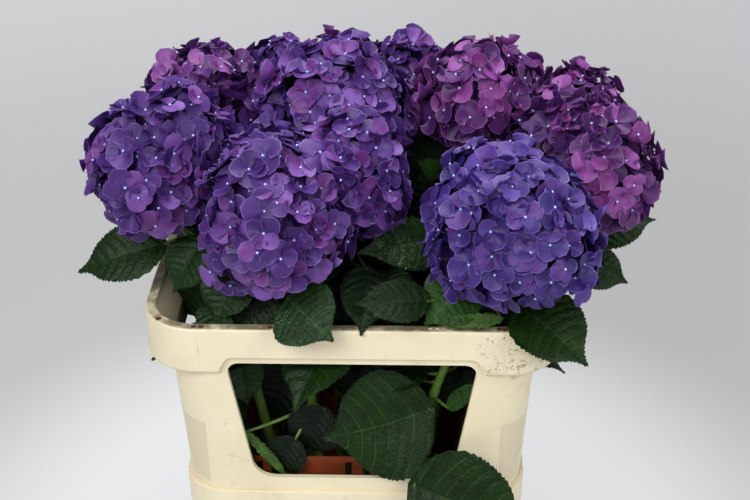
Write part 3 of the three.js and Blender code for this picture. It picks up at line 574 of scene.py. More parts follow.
def rounded_block(low, high, radius, z_low, z_high, top_edge=0.0, low_edge=0.0, steps=12):
    """A block with round upright corners whose plan goes evenly from its lower to its upper half size."""
    form = bmesh.new()
    bmesh.ops.create_cube(form, size=2)
    bmesh.ops.scale(form, verts=form.verts, vec=(low[0], low[1], (z_high - z_low) / 2))
    bmesh.ops.translate(form, verts=form.verts, vec=(0, 0, (z_high + z_low) / 2))
    uprights = [edge for edge in form.edges if abs(edge.verts[0].co.z - edge.verts[1].co.z) > 1e-3]
    round_off(form, uprights, radius, steps)
    for vertex in form.verts:
        if vertex.co.z > (z_low + z_high) / 2:
            vertex.co.x *= high[0] / low[0]
            vertex.co.y *= high[1] / low[1]
    for z, size in ((z_high, top_edge), (z_low, low_edge)):
        if size:
            round_off(form, level_edges(form, z), size, 4)
    return as_object(form)


def plain_box(low, high):
    form = bmesh.new()
    bmesh.ops.create_cube(form, size=1)
    bmesh.ops.scale(form, verts=form.verts, vec=[b - a for a, b in zip(low, high)])
    bmesh.ops.translate(form, verts=form.verts, vec=[(a + b) / 2 for a, b in zip(low, high)])
    return as_object(form)


def window_block(half_low, half_top, z_low, z_top, round_low, round_top, reach, across=False):
    """A bar through the tub with the outline of a window: narrower at the sill, with round corners."""
    form = bmesh.new()
    bmesh.ops.create_cube(form, size=2)
    for vertex in form.verts:
        top = vertex.co.z > 0
        vertex.co.x *= half_top if top else half_low
        vertex.co.y *= reach
        vertex.co.z = z_top if top else z_low
    for z, size in ((z_top, round_top), (z_low, round_low)):
        if size:
            corners = [edge for edge in level_edges(form, z)
                       if abs(edge.verts[0].co.y - edge.verts[1].co.y) > 1]
            round_off(form, corners, size, 8)
    if across:
        quarter = Matrix.Rotation(math.pi / 2, 3, "Z")
        bmesh.ops.rotate(form, verts=form.verts, cent=(0, 0, 0), matrix=quarter)
    return as_object(form)


def as_object(form):
    mesh = bpy.data.meshes.new("form")
    form.to_mesh(mesh)
    form.free()
    return placed("form", mesh)


def apply_steps(made):
    """Gives an object the mesh that its modifiers make, in place of the one it had."""
    mesh = evaluated(made)
    made.modifiers.clear()
    made.data = mesh


def combine(made, operation, *tools):
    """Joins tools to a body, cuts them out of it or keeps only what they share."""
    for tool in tools:
        step = made.modifiers.new("step", "BOOLEAN")
        step.operation = operation
        step.solver = "EXACT"
        step.object = tool
        apply_steps(made)
        bpy.data.objects.remove(tool)
    return made


def moulded(made, name, materials, nodes, edge, is_inner):
    """Softens the edges of a moulded body, gives its inner faces their own finish and places it."""
    form = bmesh.new()
    form.from_mesh(made.data)
    bmesh.ops.remove_doubles(form, verts=form.verts, dist=WELD)
    bmesh.ops.dissolve_limit(form, angle_limit=math.radians(FLAT), verts=form.verts, edges=form.edges)
    bmesh.ops.scale(form, verts=form.verts, vec=(MM, MM, MM))
    form.normal_update()
    for face in form.faces:
        face.material_index = 1 if is_inner(face) else 0
    form.to_mesh(made.data)
    form.free()
    soften = made.modifiers.new("soft edges", "BEVEL")
    soften.width = edge * MM
    soften.segments = 3
    soften.limit_method = "ANGLE"
    soften.angle_limit = math.radians(SOFT)
    soften.miter_outer = "MITER_ARC"
    apply_steps(made)
    mesh = made.data
    bpy.data.objects.remove(made)
    mesh.materials.clear()
    mesh.shade_smooth()
    mesh.set_sharp_from_angle(angle=math.radians(SHARP))
    piece = finished(name, mesh, materials, nodes)
    weighted = piece.modifiers.new("even shading", "WEIGHTED_NORMAL")
    weighted.keep_sharp = True
    return piece


def looks_inward(face):
    """True for a wall face that looks at the middle of the tub."""
    middle = face.calc_center_median()
    return face.normal.x * middle.x + face.normal.y * middle.y < -0.2 * math.hypot(middle.x, middle.y)


def less(size, amount):
    return (size[0] - amount, size[1] - amount)


def make_collar(materials):
    rim = (RIM_X, RIM_Y)
    band_low = TUB_HEIGHT - BAND_CORNER
    inner_top = (COLLAR_TOP[0] - WALL, RIM_Y - RIM_FACE)
    collar = rounded_block(rim, rim, RIM_RADIUS, band_low, TUB_HEIGHT, top_edge=3, low_edge=5)
    raised = window_block(NOTCH_LOW, NOTCH_HIGH, band_low - 6, TUB_HEIGHT - BAND_WINDOW, 0, 6, RIM_Y + 20)
    pocket = rounded_block(less(rim, 3), less(rim, 3), RIM_RADIUS - 3, band_low - 1, band_low + 16)
    ends = plain_box((-RIM_X, -RIM_Y + 32, 0), (RIM_X, RIM_Y - 32, TUB_HEIGHT))
    combine(pocket, "INTERSECT", ends)
    combine(collar, "DIFFERENCE", raised, pocket)
    shell = rounded_block(COLLAR_LOW, COLLAR_TOP, COLLAR_RADIUS, JOINT_HEIGHT + GAP, FUNNEL_START)
    lip_size = less(COLLAR_LOW, WALL + LIP_EASE)
    lip = rounded_block(lip_size, lip_size, COLLAR_RADIUS - WALL,
                        JOINT_HEIGHT - LIP_DEPTH, JOINT_HEIGHT + LIP_ROOT)
    combine(collar, "UNION", shell, lip)
    hollow_lip = less(lip_size, LIP_WALL)
    mouth = less(rim, RIM_FACE)
    combine(
        collar, "DIFFERENCE",
        rounded_block(less(COLLAR_LOW, WALL), inner_top, COLLAR_RADIUS - WALL,
                      JOINT_HEIGHT + LIP_ROOT, FUNNEL_START),
        rounded_block(hollow_lip, hollow_lip, COLLAR_RADIUS - WALL - LIP_WALL,
                      JOINT_HEIGHT - LIP_DEPTH - 1, JOINT_HEIGHT + LIP_ROOT + 1),
        rounded_block(inner_top, mouth, COLLAR_RADIUS, FUNNEL_START - 0.01, FUNNEL_END),
        rounded_block(mouth, mouth, RIM_RADIUS - RIM_FACE, FUNNEL_END - 0.01, TUB_HEIGHT + 1),
    )
    skin = rounded_block(less(COLLAR_LOW, PANEL_DEPTH), less(COLLAR_TOP, PANEL_DEPTH),
                         COLLAR_RADIUS - PANEL_DEPTH, JOINT_HEIGHT - 20, FUNNEL_START)
    between_x, between_y = (PANEL_X, RIM_Y + 20), (RIM_X + 20, PANEL_Y)
    middle = rounded_block(between_x, between_x, 1, JOINT_HEIGHT, PANEL_TOP + 5, steps=1)
    sides = rounded_block(between_y, between_y, 1, JOINT_HEIGHT, PANEL_TOP + 5, steps=1)
    panels = plain_box((-RIM_X - 9, -RIM_Y - 9, JOINT_HEIGHT + PANEL_FOOT),
                       (RIM_X + 9, RIM_Y + 9, PANEL_TOP))
    combine(panels, "DIFFERENCE", skin, middle, sides)
    front = window_block(WINDOW_HALF_LOW, WINDOW_HALF_TOP, WINDOW_LOW, WINDOW_TOP,
                         WINDOW_ROUND_LOW, WINDOW_ROUND_TOP, RIM_Y + 50)
    side = window_block(SIDE_HALF_LOW, SIDE_HALF_TOP, WINDOW_LOW, WINDOW_TOP - SIDE_DROP,
                        SIDE_ROUND_LOW, WINDOW_ROUND_TOP, RIM_X + 50, across=True)
    combine(collar, "DIFFERENCE", panels, front, side)
    for x in RIM_HOLES:
        for y in (-RIM_Y + RIM_FACE / 2, RIM_Y - RIM_FACE / 2):
            half_x, half_y = RIM_HOLE_HALF
            combine(collar, "DIFFERENCE", plain_box((x - half_x, y - half_y, TUB_HEIGHT - RIM_HOLE_DEPTH),
                                                    (x + half_x, y + half_y, TUB_HEIGHT + 2)))
    return moulded(collar, "tub_collar", materials, ["collar"], 1.1, looks_inward)


def make_bucket(materials):
    shoulder = JOINT_HEIGHT - BUCKET_RIM_HEIGHT
    bucket = rounded_block(less(BUCKET_RIM, 0.6), BUCKET_RIM, BUCKET_RADIUS + 3, shoulder, JOINT_HEIGHT)
    body = rounded_block(BUCKET_LOW, BUCKET_TOP, BUCKET_RADIUS, FOOT_STEP, shoulder + 4)
    foot_size = less(BUCKET_LOW, FOOT_INSET)
    foot = rounded_block(foot_size, foot_size, BUCKET_RADIUS - 3, 0, FOOT_STEP + 3)
    combine(bucket, "UNION", body, foot)
    inside = rounded_block(less(BUCKET_LOW, BUCKET_WALL), less(BUCKET_TOP, BUCKET_WALL),
                           BUCKET_RADIUS - BUCKET_WALL, BUCKET_FLOOR, JOINT_HEIGHT + 0.5)
    mouth_size = less(COLLAR_LOW, WALL)
    mouth = rounded_block(mouth_size, mouth_size, COLLAR_RADIUS - WALL + 0.5,
                          JOINT_HEIGHT - LIP_DEPTH - GAP, JOINT_HEIGHT + 0.5)
    combine(bucket, "DIFFERENCE", inside, mouth)
    return moulded(bucket, "tub_bucket", materials, ["bucket"], 1.0, looks_inward)


def make_tray(material):
    floor = BUCKET_FLOOR + GAP
    tray = rounded_block(TRAY_LOW, TRAY_TOP, TRAY_RADIUS, floor, TRAY_HEIGHT)
    combine(tray, "DIFFERENCE", rounded_block(
        less(TRAY_LOW, TRAY_WALL), less(TRAY_TOP, TRAY_WALL), TRAY_RADIUS - TRAY_WALL,
        floor + TRAY_FLOOR, TRAY_HEIGHT + 1))
    half, reach = SLOT_WIDTH / 2, RIM_X
    for start in SLOT_STARTS:
        for number in range(SLOTS_IN_GROUP):
            x = start + number * SLOT_PITCH
            combine(tray, "DIFFERENCE", plain_box((x - half, -reach, SLOT_LOW), (x + half, reach, SLOT_TOP)))
    for number in range(SIDE_SLOTS):
        y = SIDE_SLOT_START + number * SLOT_PITCH
        combine(tray, "DIFFERENCE", plain_box((-reach, y - half, SLOT_LOW), (reach, y + half, SLOT_TOP)))
    return moulded(tray, "tub_tray", [material], ["inner_tray"], 0.6, lambda face: False)


# ---------- limbs and stalks ----------

def bezier(points, t):
    """A point on a curve with three or four control points."""
    points = [np.asarray(point, float) for point in points]
    while len(points) > 1:
        points = [a + (b - a) * t for a, b in zip(points, points[1:])]
    return points[0]


class Stem:
    """One stem with its bare part in the tub, the path of its leafy part and its bloom."""

    def __init__(self, number, row):
        at, self.radius, tip, foot, knee, self.pairs, self.family = row
        self.number = number
        self.at = np.array(at, float)
        self.axis = unit(tip)
        self.knee = np.array(knee, float)
        self.foot = np.array((*foot, BUCKET_FLOOR + TRAY_FLOOR + 2 * GAP))
        self.neck = self.at - self.axis * self.radius * 0.98
        self.bow = (self.foot + self.knee) / 2 + 0.03 * np.array((foot[0], foot[1], 0))
        rise = unit(self.knee - self.bow)
        reach = np.linalg.norm(self.neck - self.knee) * STEM_BEND
        self.control = [self.knee + rise * GAP, self.knee + rise * reach,
                        self.neck - self.axis * reach, self.neck - self.axis * GAP]
        self.length = sum(np.linalg.norm(self.path((i + 1) / 100) - self.path(i / 100)) for i in range(100))

    def path(self, t):
        return bezier(self.control, t)


stems = [Stem(number + 1, row) for number, row in enumerate(STEMS)]


def tubes(name, runs, sides, materials, nodes):
    """One piece of many round limbs; a run is a list of points with a radius each."""
    curve = bpy.data.curves.new(name, "CURVE")
    curve.dimensions = "3D"
    curve.bevel_depth = 1.0
    curve.bevel_resolution = max(0, sides // 2 - 2)
    curve.use_fill_caps = True
    for run in runs:
        line = curve.splines.new("POLY")
        line.points.add(len(run) - 1)
        for knot, (point, radius) in zip(line.points, run):
            knot.co = (*(np.asarray(point) * MM), 1.0)
            knot.radius = radius * MM
    holder = placed(name, curve)
    mesh = evaluated(holder)
    bpy.data.objects.remove(holder)
    mesh.materials.clear()
    mesh.shade_smooth()
    mesh.name = name
    return finished(name, mesh, materials, nodes)


def limb(path, foot, tip, knots, steps):
    """Points and radii along a path, from the foot's radius to the tip's and swollen at the knots."""
    for t in (step / steps for step in range(steps + 1)):
        swollen = sum(0.2 * math.exp(-((t - knot) / 0.018) ** 2) for knot in knots)
        yield path(t), (foot + (tip - foot) * t) * (1 + swollen)


def bare_stem(stem):
    """The bare part of a stem from its cut foot to where its leaves start."""
    curve = (stem.foot, stem.bow, stem.knee)
    return list(limb(lambda t: bezier(curve, t), STEM_FOOT, STEM_TIP, (0.3, 0.62, 0.97), 22))


def leafy_stem(stem):
    """The leafy part, which ends inside the bloom."""
    knots = [1 - (FIRST_NODE + pair * NODE_SPACING) / stem.length for pair in range(6)]
    run = list(limb(stem.path, STEM_TIP, NECK, knots, 26))
    return [*run, (stem.neck + stem.axis * stem.radius * 0.45, NECK * 0.9)]


# ---------- leaves ----------

def blade_width(t):
    """Half width of a leaf blade along its length: broad below the middle with a drawn-out point."""
    body = np.sin(np.pi * np.clip(t, 0, 1) ** 0.82) ** 0.72
    point = np.clip((t - 0.7) / 0.24, 0, 1)
    return body * (1 - 0.35 * t ** 3) * (1 - 0.62 * point * point * (3 - 2 * point))


def leaf_rows():
    """The rows of a leaf from base to tip, with a narrow row on each side vein."""
    rows = [0.0]
    for vein in range(VEINS):
        middle = (vein + 0.55) / VEINS * 0.94
        between = np.linspace(rows[-1], middle - VEIN_HALF, ROWS_BETWEEN + 1)[1:]
        rows += [*between, middle + VEIN_HALF]
    return np.array([*rows, *np.linspace(rows[-1], 1, ROWS_BETWEEN + 1)[1:]])


LEAF_ROWS = leaf_rows()
LEAF_COLUMNS = np.array([0, 0.012, 0.2, 0.45, 0.7, 0.9, 1.0])


def flat_grid(columns, rows):
    """A grid's points as their column's and their row's value, with the row's number, and its faces."""
    form = bmesh.new()
    bmesh.ops.create_grid(form, x_segments=len(columns) - 1, y_segments=len(rows) - 1, size=0.5)
    points, faces = template(form)
    column = np.rint((points[:, 0] + 0.5) * (len(columns) - 1)).astype(int)
    row = np.rint((points[:, 1] + 0.5) * (len(rows) - 1)).astype(int)
    return columns[column], rows[row], row, faces


def leaf_template():
    """Flat places on a leaf as sideways and lengthwise shares, its faces and which of them are veins."""
    columns = np.concatenate([-LEAF_COLUMNS[:0:-1], LEAF_COLUMNS[1:]])
    sideways, along, row, faces = flat_grid(columns, LEAF_ROWS)
    span = along[faces].max(axis=1) - along[faces].min(axis=1)
    middle = np.abs(sideways[faces].mean(axis=1))
    is_vein = ((span < 2.2 * VEIN_HALF) & (middle < 0.88)) | (middle < 0.01)
    return sideways, along, row, faces, is_vein.astype(int)


LEAF_SIDEWAYS, LEAF_ALONG, LEAF_ROW, LEAF_FACES, LEAF_VEIN_FACES = leaf_template()


def leaf_blade(base, tip, wide, face, random):
    """A leaf blade: folded up along its midrib, quilted between its veins and toothed round its margin."""
    along = np.asarray(tip, float) - base
    length = np.linalg.norm(along)
    along = along / length
    side = unit(np.cross(face, along))
    normal = np.cross(along, side)
    s, row = LEAF_SIDEWAYS, LEAF_ALONG
    edge = np.abs(s)
    slant = VEIN_SLANT * np.clip(row / 0.2, 0, 1) * np.clip(1 - row, 0, 1) ** 0.9
    t = np.clip(row + slant * (0.45 * edge + 0.55 * edge ** 2.2), 0, 1)
    half = wide / 2 * blade_width(t)
    teeth = np.where((edge > 0.99) & (row > 0.03) & (row < 0.98), np.where(LEAF_ROW % 2 == 0, 1.3, -0.6), 0)
    sideways = s * half + np.sign(s) * teeth * min(1.0, length / 90)
    cell = (row / 0.94 * VEINS - 0.55) % 1
    quilt = QUILT * length * np.sin(np.pi * cell) ** 0.7 * np.sin(np.pi * np.clip(edge, 0, 1)) ** 0.6
    quilt = quilt * np.clip((1 - row) * 3, 0, 1)
    phase, sway = random.uniform(0, 6.3), random.uniform(0.012, 0.03)
    wave = sway * length * edge ** 2 * np.sin(9 * t + phase + np.sign(s) * 1.3)
    lift = length * (0.09 * np.sin(np.pi * t) - 0.02) + np.abs(s) * half * 0.16 + quilt + wave
    lift = np.where((t < 0.002) | (t > 0.998), 0, lift)
    spread = np.outer(t * length, along) + np.outer(sideways, side) + np.outer(lift, normal)
    return np.asarray(base) + spread


@functools.cache
def solid_points(node):
    """The corners of a CAD node in millimetres."""
    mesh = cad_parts[node].data
    points = np.empty(len(mesh.vertices) * 3, np.float32)
    mesh.vertices.foreach_get("co", points)
    return points.reshape(-1, 3) / MM


def has_leaf(stem, tip):
    """True if the solid foliage of a stem reaches a leaf's tip, so that it kept that leaf."""
    away = np.linalg.norm(solid_points(f"foliage_{stem.number:02d}") - tip, axis=1)
    return away.min() < 1.5


def single_leaves():
    """The single leaves with the places on the stems that bear them."""
    for number, base, tip, wide, face, finish in SINGLE_LEAVES:
        stem = stems[number - 1]
        base, tip = np.array(base, float), np.array(tip, float)
        shares = [step / 20 for step in range(21)]
        best = min(shares, key=lambda t: np.linalg.norm(stem.path(t) - base))
        yield stem.path(min(0.94, max(0.04, best))), base, tip, wide, np.array(face, float), finish


def paired_leaves(stem, shift=0.0, shrink=1.0, seed_shift=0, checked=True):
    """Opposite pairs of leaves down from a stem's neck, by the rule of the solid model."""
    series = seeded_random(LEAF_SEED + (stem.number + seed_shift) * LEAF_SEED_STEP)
    spacing = NODE_SPACING if checked else NODE_SPACING * INNER_SPACING
    pairs = stem.pairs if checked else int(stem.length / spacing)
    for pair in range(pairs):
        t = 1 - (FIRST_NODE + (pair + shift) * spacing) / stem.length
        turn = (pair % 2) * math.pi / 2 + next(series) * 0.7 + stem.number
        for side in (0, math.pi):
            size = (0.8 + next(series) * 0.35) * shrink
            droop = -0.15 - next(series) * 0.55
            heading = turn + side + (next(series) - 0.5) * 0.5
            root = stem.path(max(0.0, t))
            out = np.array((math.cos(heading), math.sin(heading), 0))
            base = root + out * PETIOLE * size + UP * 8 * size
            tip = base + unit(out + UP * droop) * LEAF_LENGTH * size
            depth = CROWN_FRONT if tip[1] < 0 else CROWN_BACK
            if t <= 0.03 or math.hypot(tip[0] / CROWN_X, tip[1] / depth) > 1:
                continue
            if (has_leaf(stem, tip) if checked else is_clear(base, tip)):
                yield root, base, tip, LEAF_WIDTH * size, UP + out * (0.1 - droop)


def is_clear(base, tip):
    """True if a small extra leaf stays inside the tub's walls, clear of the rim and under the blooms."""
    for share in (0.1, 0.5, 0.8, 1.0):
        x, y, z = base + (tip - base) * share
        if z < INNER_LOW and (abs(x) > INNER_ROOM[0] or abs(y) > INNER_ROOM[1]):
            return False
        if z > INNER_HIGH or math.hypot(x / INNER_BACK, y / (INNER_FRONT if y < 0 else INNER_BACK)) > 1:
            return False
        if any(np.linalg.norm(stem.at - (x, y, z)) < stem.radius * 0.9 for stem in stems):
            return False
    return True


# Display colours of a leaf: blade, its clouds and its veins, with the size of the pale specks on it.
LEAF_FINISHES = {
    # shade: near-black leaves that stand for the dark shade deep in the tub, painted shade
    "shade": ((9, 22, 9), (6, 15, 7), (18, 34, 16), 0.1),
    # dark: a darker leaf green, used mostly for leaves deep under the blooms, so partly painted shade
    "dark": ((15, 35, 10), (10, 26, 8), (38, 58, 34), 0.16),
    "mid": ((19, 45, 8), (13, 33, 7), (52, 80, 40), 0.1),
    "fresh": ((35, 70, 20), (25, 55, 16), (74, 110, 50), 0.1),
    "grey": ((30, 56, 24), (22, 42, 18), (68, 96, 58), 0.22),
    "under": ((66, 96, 38), (48, 74, 30), (104, 134, 66), 0.0),
}


def make_foliage(stem_material, nodes):
    """All leaves by finish, with their stalks."""
    random = np.random.default_rng(LEAF_DETAIL_SEED)
    sprays = {finish: [] for finish in LEAF_FINISHES}
    stalks = []

    def grow(root, base, tip, wide, face, finish):
        points = kept_inside(leaf_blade(base, tip, wide, unit(face), random))
        sprays[finish].append((points, LEAF_FACES, LEAF_VEIN_FACES))
        reach = np.linalg.norm(tip - base)
        sunk = base + unit(tip - base) * 0.05 * reach - unit(face) * 0.4
        bend = (root + sunk) / 2 - UP * 0.06 * np.linalg.norm(sunk - root)
        stalks.append([(bezier((root, bend, sunk), step / 6), PETIOLE_RADIUS * thick)
                       for step, thick in enumerate(PETIOLE_TAPER)])

    for leaf in single_leaves():
        grow(*leaf)
    for stem in stems:
        for leaf in paired_leaves(stem):
            grow(*leaf, "dark" if random.random() < DARK_PAIRED else "mid")
        for shift, shrink, seed_shift in INNER_ROUNDS:
            for leaf in paired_leaves(stem, shift, shrink, seed_shift, checked=False):
                grow(*leaf, "dark" if random.random() < DARK_INNER else "mid")
    for finish, parts in sprays.items():
        base, other, vein, specks = LEAF_FINISHES[finish]
        materials = [
            leaf_finish(f"leaf_{finish}", base, other, vein, 0.44, specks),
            leaf_finish(f"vein_{finish}", vein, base, vein, 0.5, 0.0),
        ]
        most = MOST_QUADS // len(LEAF_FACES)
        for number, start in enumerate(range(0, len(parts), most)):
            spray = parts[start:start + most]
            joined(f"leaves_{finish}_{number + 1}", spray, materials, nodes)
    tubes("leaf_stalks", stalks, 6, [stem_material], nodes)


# ---------- blooms ----------

SEPAL_ACROSS = np.array([-1, -0.94, -0.7, -0.36, 0, 0.36, 0.7, 0.94, 1.0])
SEPAL_OUT = np.array([0.03, 0.12, 0.34, 0.6, 0.84, 0.965, 1.0])
PLAIN_ACROSS = np.array([-1, -0.6, 0, 0.6, 1.0])
PLAIN_OUT = np.array([0.03, 0.4, 0.75, 1.0])
DEEP_SHADE_FINISH, RIM_FINISH, HALO_FINISH = 4, 5, 6


class Sepal:
    """Places on a sepal as shares across and outwards, its faces and their material numbers."""

    def __init__(self, across, out, bordered):
        self.across, self.out, _, self.faces = flat_grid(across, out)
        middle_out = self.out[self.faces].mean(axis=1)
        middle_across = np.abs(self.across[self.faces].mean(axis=1))
        self.finish = np.full(len(self.faces), -1)
        if bordered:
            self.finish[(middle_out > 0.97) | ((middle_across > 0.95) & (middle_out > 0.4))] = RIM_FINISH
            self.finish[middle_out < 0.1] = HALO_FINISH


FINE_SEPAL = Sepal(SEPAL_ACROSS, SEPAL_OUT, True)
PLAIN_SEPAL = Sepal(PLAIN_ACROSS, PLAIN_OUT, False)


def frame_on(normal, spin):
    """Two directions that lie square to a normal, turned about it by a spin."""
    helper = UP if abs(normal[2]) < 0.9 else np.array((1.0, 0.0, 0.0))
    right = unit(np.cross(helper, normal))
    ahead = np.cross(normal, right)
    turned = right * math.cos(spin) + ahead * math.sin(spin)
    return turned, np.cross(normal, turned)


def floret(centre, normal, length, cup, sepal, random, tone):
    """Four broad, overlapping sepals round a middle, each cupped and waved in its own way."""
    right, ahead = frame_on(normal, random.uniform(0, math.pi / 2))
    across, out = sepal.across, sepal.out
    parts = []
    for number in range(4):
        size = length * random.uniform(0.86, 1.1)
        half_angle = random.uniform(1.0, 1.22)
        fan = across * half_angle * (0.66 + 0.34 * out)
        angle = number * math.pi / 2 + random.normal(0, 0.09) + fan
        point = 0.06 * random.uniform(-0.6, 1.2) * np.exp(-(across / 0.3) ** 2) * out ** 5
        reach = size * out * (np.cos(fan) ** 0.7 + point)
        bowl = (cup + random.normal(0, 0.12)) * out ** 1.7
        fold = random.uniform(-0.14, 0.3) * np.abs(across) ** 1.6 * out
        wave = np.sin(across * random.uniform(2, 5) + random.uniform(0, 6)) * out ** 1.5
        curl = random.normal(0, 0.1) * out ** 4
        level = 0.045 * (number % 2) + 0.01
        height = size * (bowl + fold + random.uniform(0.02, 0.08) * wave + curl + level)
        points = (centre + np.outer(reach * np.cos(angle), right) + np.outer(reach * np.sin(angle), ahead)
                  + np.outer(height, normal))
        own = tone if tone == DEEP_SHADE_FINISH or random.random() < 0.72 else int(random.integers(0, 4))
        parts.append((points, sepal.faces, np.where(sepal.finish < 0, own, sepal.finish)))
    return parts


def ball_directions(count, axis, spin):
    """Even directions over a ball whose pole is the bloom's axis, each with its height on the ball."""
    turn = np.array(Vector(UP).rotation_difference(Vector(axis)).to_matrix())
    for number in range(count):
        height = 1 - 2 * (number + 0.5) / count
        ring = math.sqrt(1 - height * height)
        angle = number * GOLDEN_ANGLE + spin
        yield turn @ np.array((ring * math.cos(angle), ring * math.sin(angle), height)), height


def behind_a_neighbour(stem, point):
    """True where a neighbouring bloom takes the space."""
    for other in stems:
        if other is stem:
            continue
        own = np.linalg.norm(point - stem.at) - stem.radius
        theirs = np.linalg.norm(point - other.at) - other.radius
        if theirs < -0.14 * other.radius and theirs < own - 8:
            return True
    return False


def swelling(stem, point):
    """How far a bloom swells at a point of its ball, to close the valley to a near neighbour."""
    most = 0.0
    for other in stems:
        apart = abs(np.linalg.norm(point - other.at) - other.radius)
        if other is not stem and apart < VALLEY:
            most = max(most, (1 - apart / VALLEY) ** 2 * VALLEY / 4)
    return most


def bulge(stem, direction):
    """How far a bloom bulges in a direction."""
    return sum(height * math.exp((float(direction @ unit(way)) - 1) / 0.2)
               for way, height in BULGES.get(stem.number, ()))


def bloom_places(stem, random):
    """Centre, facing, sepal length, cup and layer of every floret of a bloom."""
    radius = stem.radius
    length = SEPAL_LENGTH + SEPAL_GROWTH * radius
    lumps = random.uniform(0, 6.3, 3)
    for layer, (area, sunk, spread) in enumerate(LAYERS):
        count = round(4 * math.pi * radius ** 2 / (area * (length / 17) ** 2))
        for direction, height in ball_directions(count, stem.axis, random.uniform(0, 6)):
            direction = unit(direction + random.normal(0, 0.07, 3))
            if height < OPEN_BELOW:
                continue
            lump = LUMPS * float(np.sin(direction @ (4.0, 1.5, 2.0) + lumps[0])
                                 + np.sin(direction @ (-1.5, 5.5, 3.0) + lumps[1]) - 0.5)
            cup = random.uniform(-0.1, 0.34)
            depth = length * (sunk + 0.85 * max(cup, 0)) + random.uniform(-spread, spread)
            swollen = swelling(stem, stem.at + direction * radius) + bulge(stem, direction)
            centre = stem.at + direction * (radius * (1 + lump) + swollen - depth)
            if behind_a_neighbour(stem, centre):
                continue
            lean = np.clip(random.normal(0, FLORET_TILT, 3), -MOST_TILT, MOST_TILT)
            normal = unit(direction + lean + UP * UPTURN * min(1.0, max(0.0, 0.4 - direction[2])))
            yield centre, normal, length * random.uniform(0.7, 1.18), cup, layer
    for number, middle, size in LOBES:
        if number != stem.number:
            continue
        count = round(4 * math.pi * size ** 2 / LOBE_FLORET_AREA)
        for direction, _ in ball_directions(count, UP, random.uniform(0, 6)):
            centre = np.array(middle) + direction * (size - random.uniform(2, 9))
            if not behind_a_neighbour(stem, centre):
                normal = unit(direction + random.normal(0, FLORET_TILT, 3))
                yield centre, normal, length, random.uniform(0, 0.3), 1
    for place in HANGING.get(stem.number, ()):
        centre = np.array(place, float)
        normal = unit(unit(centre - stem.at) + random.normal(0, 0.15, 3) + UP * UPTURN + FRONT * 0.5)
        yield centre, normal, length * random.uniform(0.95, 1.05), random.uniform(-0.05, 0.2), 0


# Display colours of the petals in every family: common, light, dark, rosy and, for the sunken ones,
# deep, a painted shade in the saturated violet of the shade among the petals, then the pale rim and
# the halo round the middle; and which of them clouds each one.
PETALS = {
    "violet": [(60, 39, 116), (84, 63, 144), (45, 27, 98), (79, 40, 118), (50, 30, 112),
               (104, 86, 162), (84, 84, 196)],
    "purple": [(73, 38, 115), (116, 76, 158), (55, 27, 97), (98, 41, 119), (62, 30, 107),
               (114, 84, 156), (88, 74, 184)],
    "plum": [(88, 41, 111), (134, 76, 148), (68, 30, 92), (112, 45, 117), (68, 28, 96),
             (126, 84, 148), (94, 68, 162)],
    "magenta": [(82, 32, 100), (136, 70, 150), (62, 24, 86), (108, 38, 108), (60, 23, 87),
                (134, 82, 144), (102, 66, 160)],
}
CLOUDED_BY = (2, 3, 0, 1, 2, 0, 0)


def petal_finishes(family):
    """The finishes of one family of blooms, in the order of its colours."""
    names = [*(f"petal_{family}_{number}" for number in range(1, DEEP_SHADE_FINISH + 2)),
             f"petal_rim_{family}", f"petal_halo_{family}"]
    tones = PETALS[family]
    return [petal_finish(name, tone, tones[other]) for name, tone, other in zip(names, tones, CLOUDED_BY)]


def ball(subdivisions, radius):
    """Points, faces and material numbers of a small ball."""
    form = bmesh.new()
    bmesh.ops.create_icosphere(form, subdivisions=subdivisions, radius=radius)
    points, faces = template(form)
    return points, faces, np.zeros(len(faces), int)


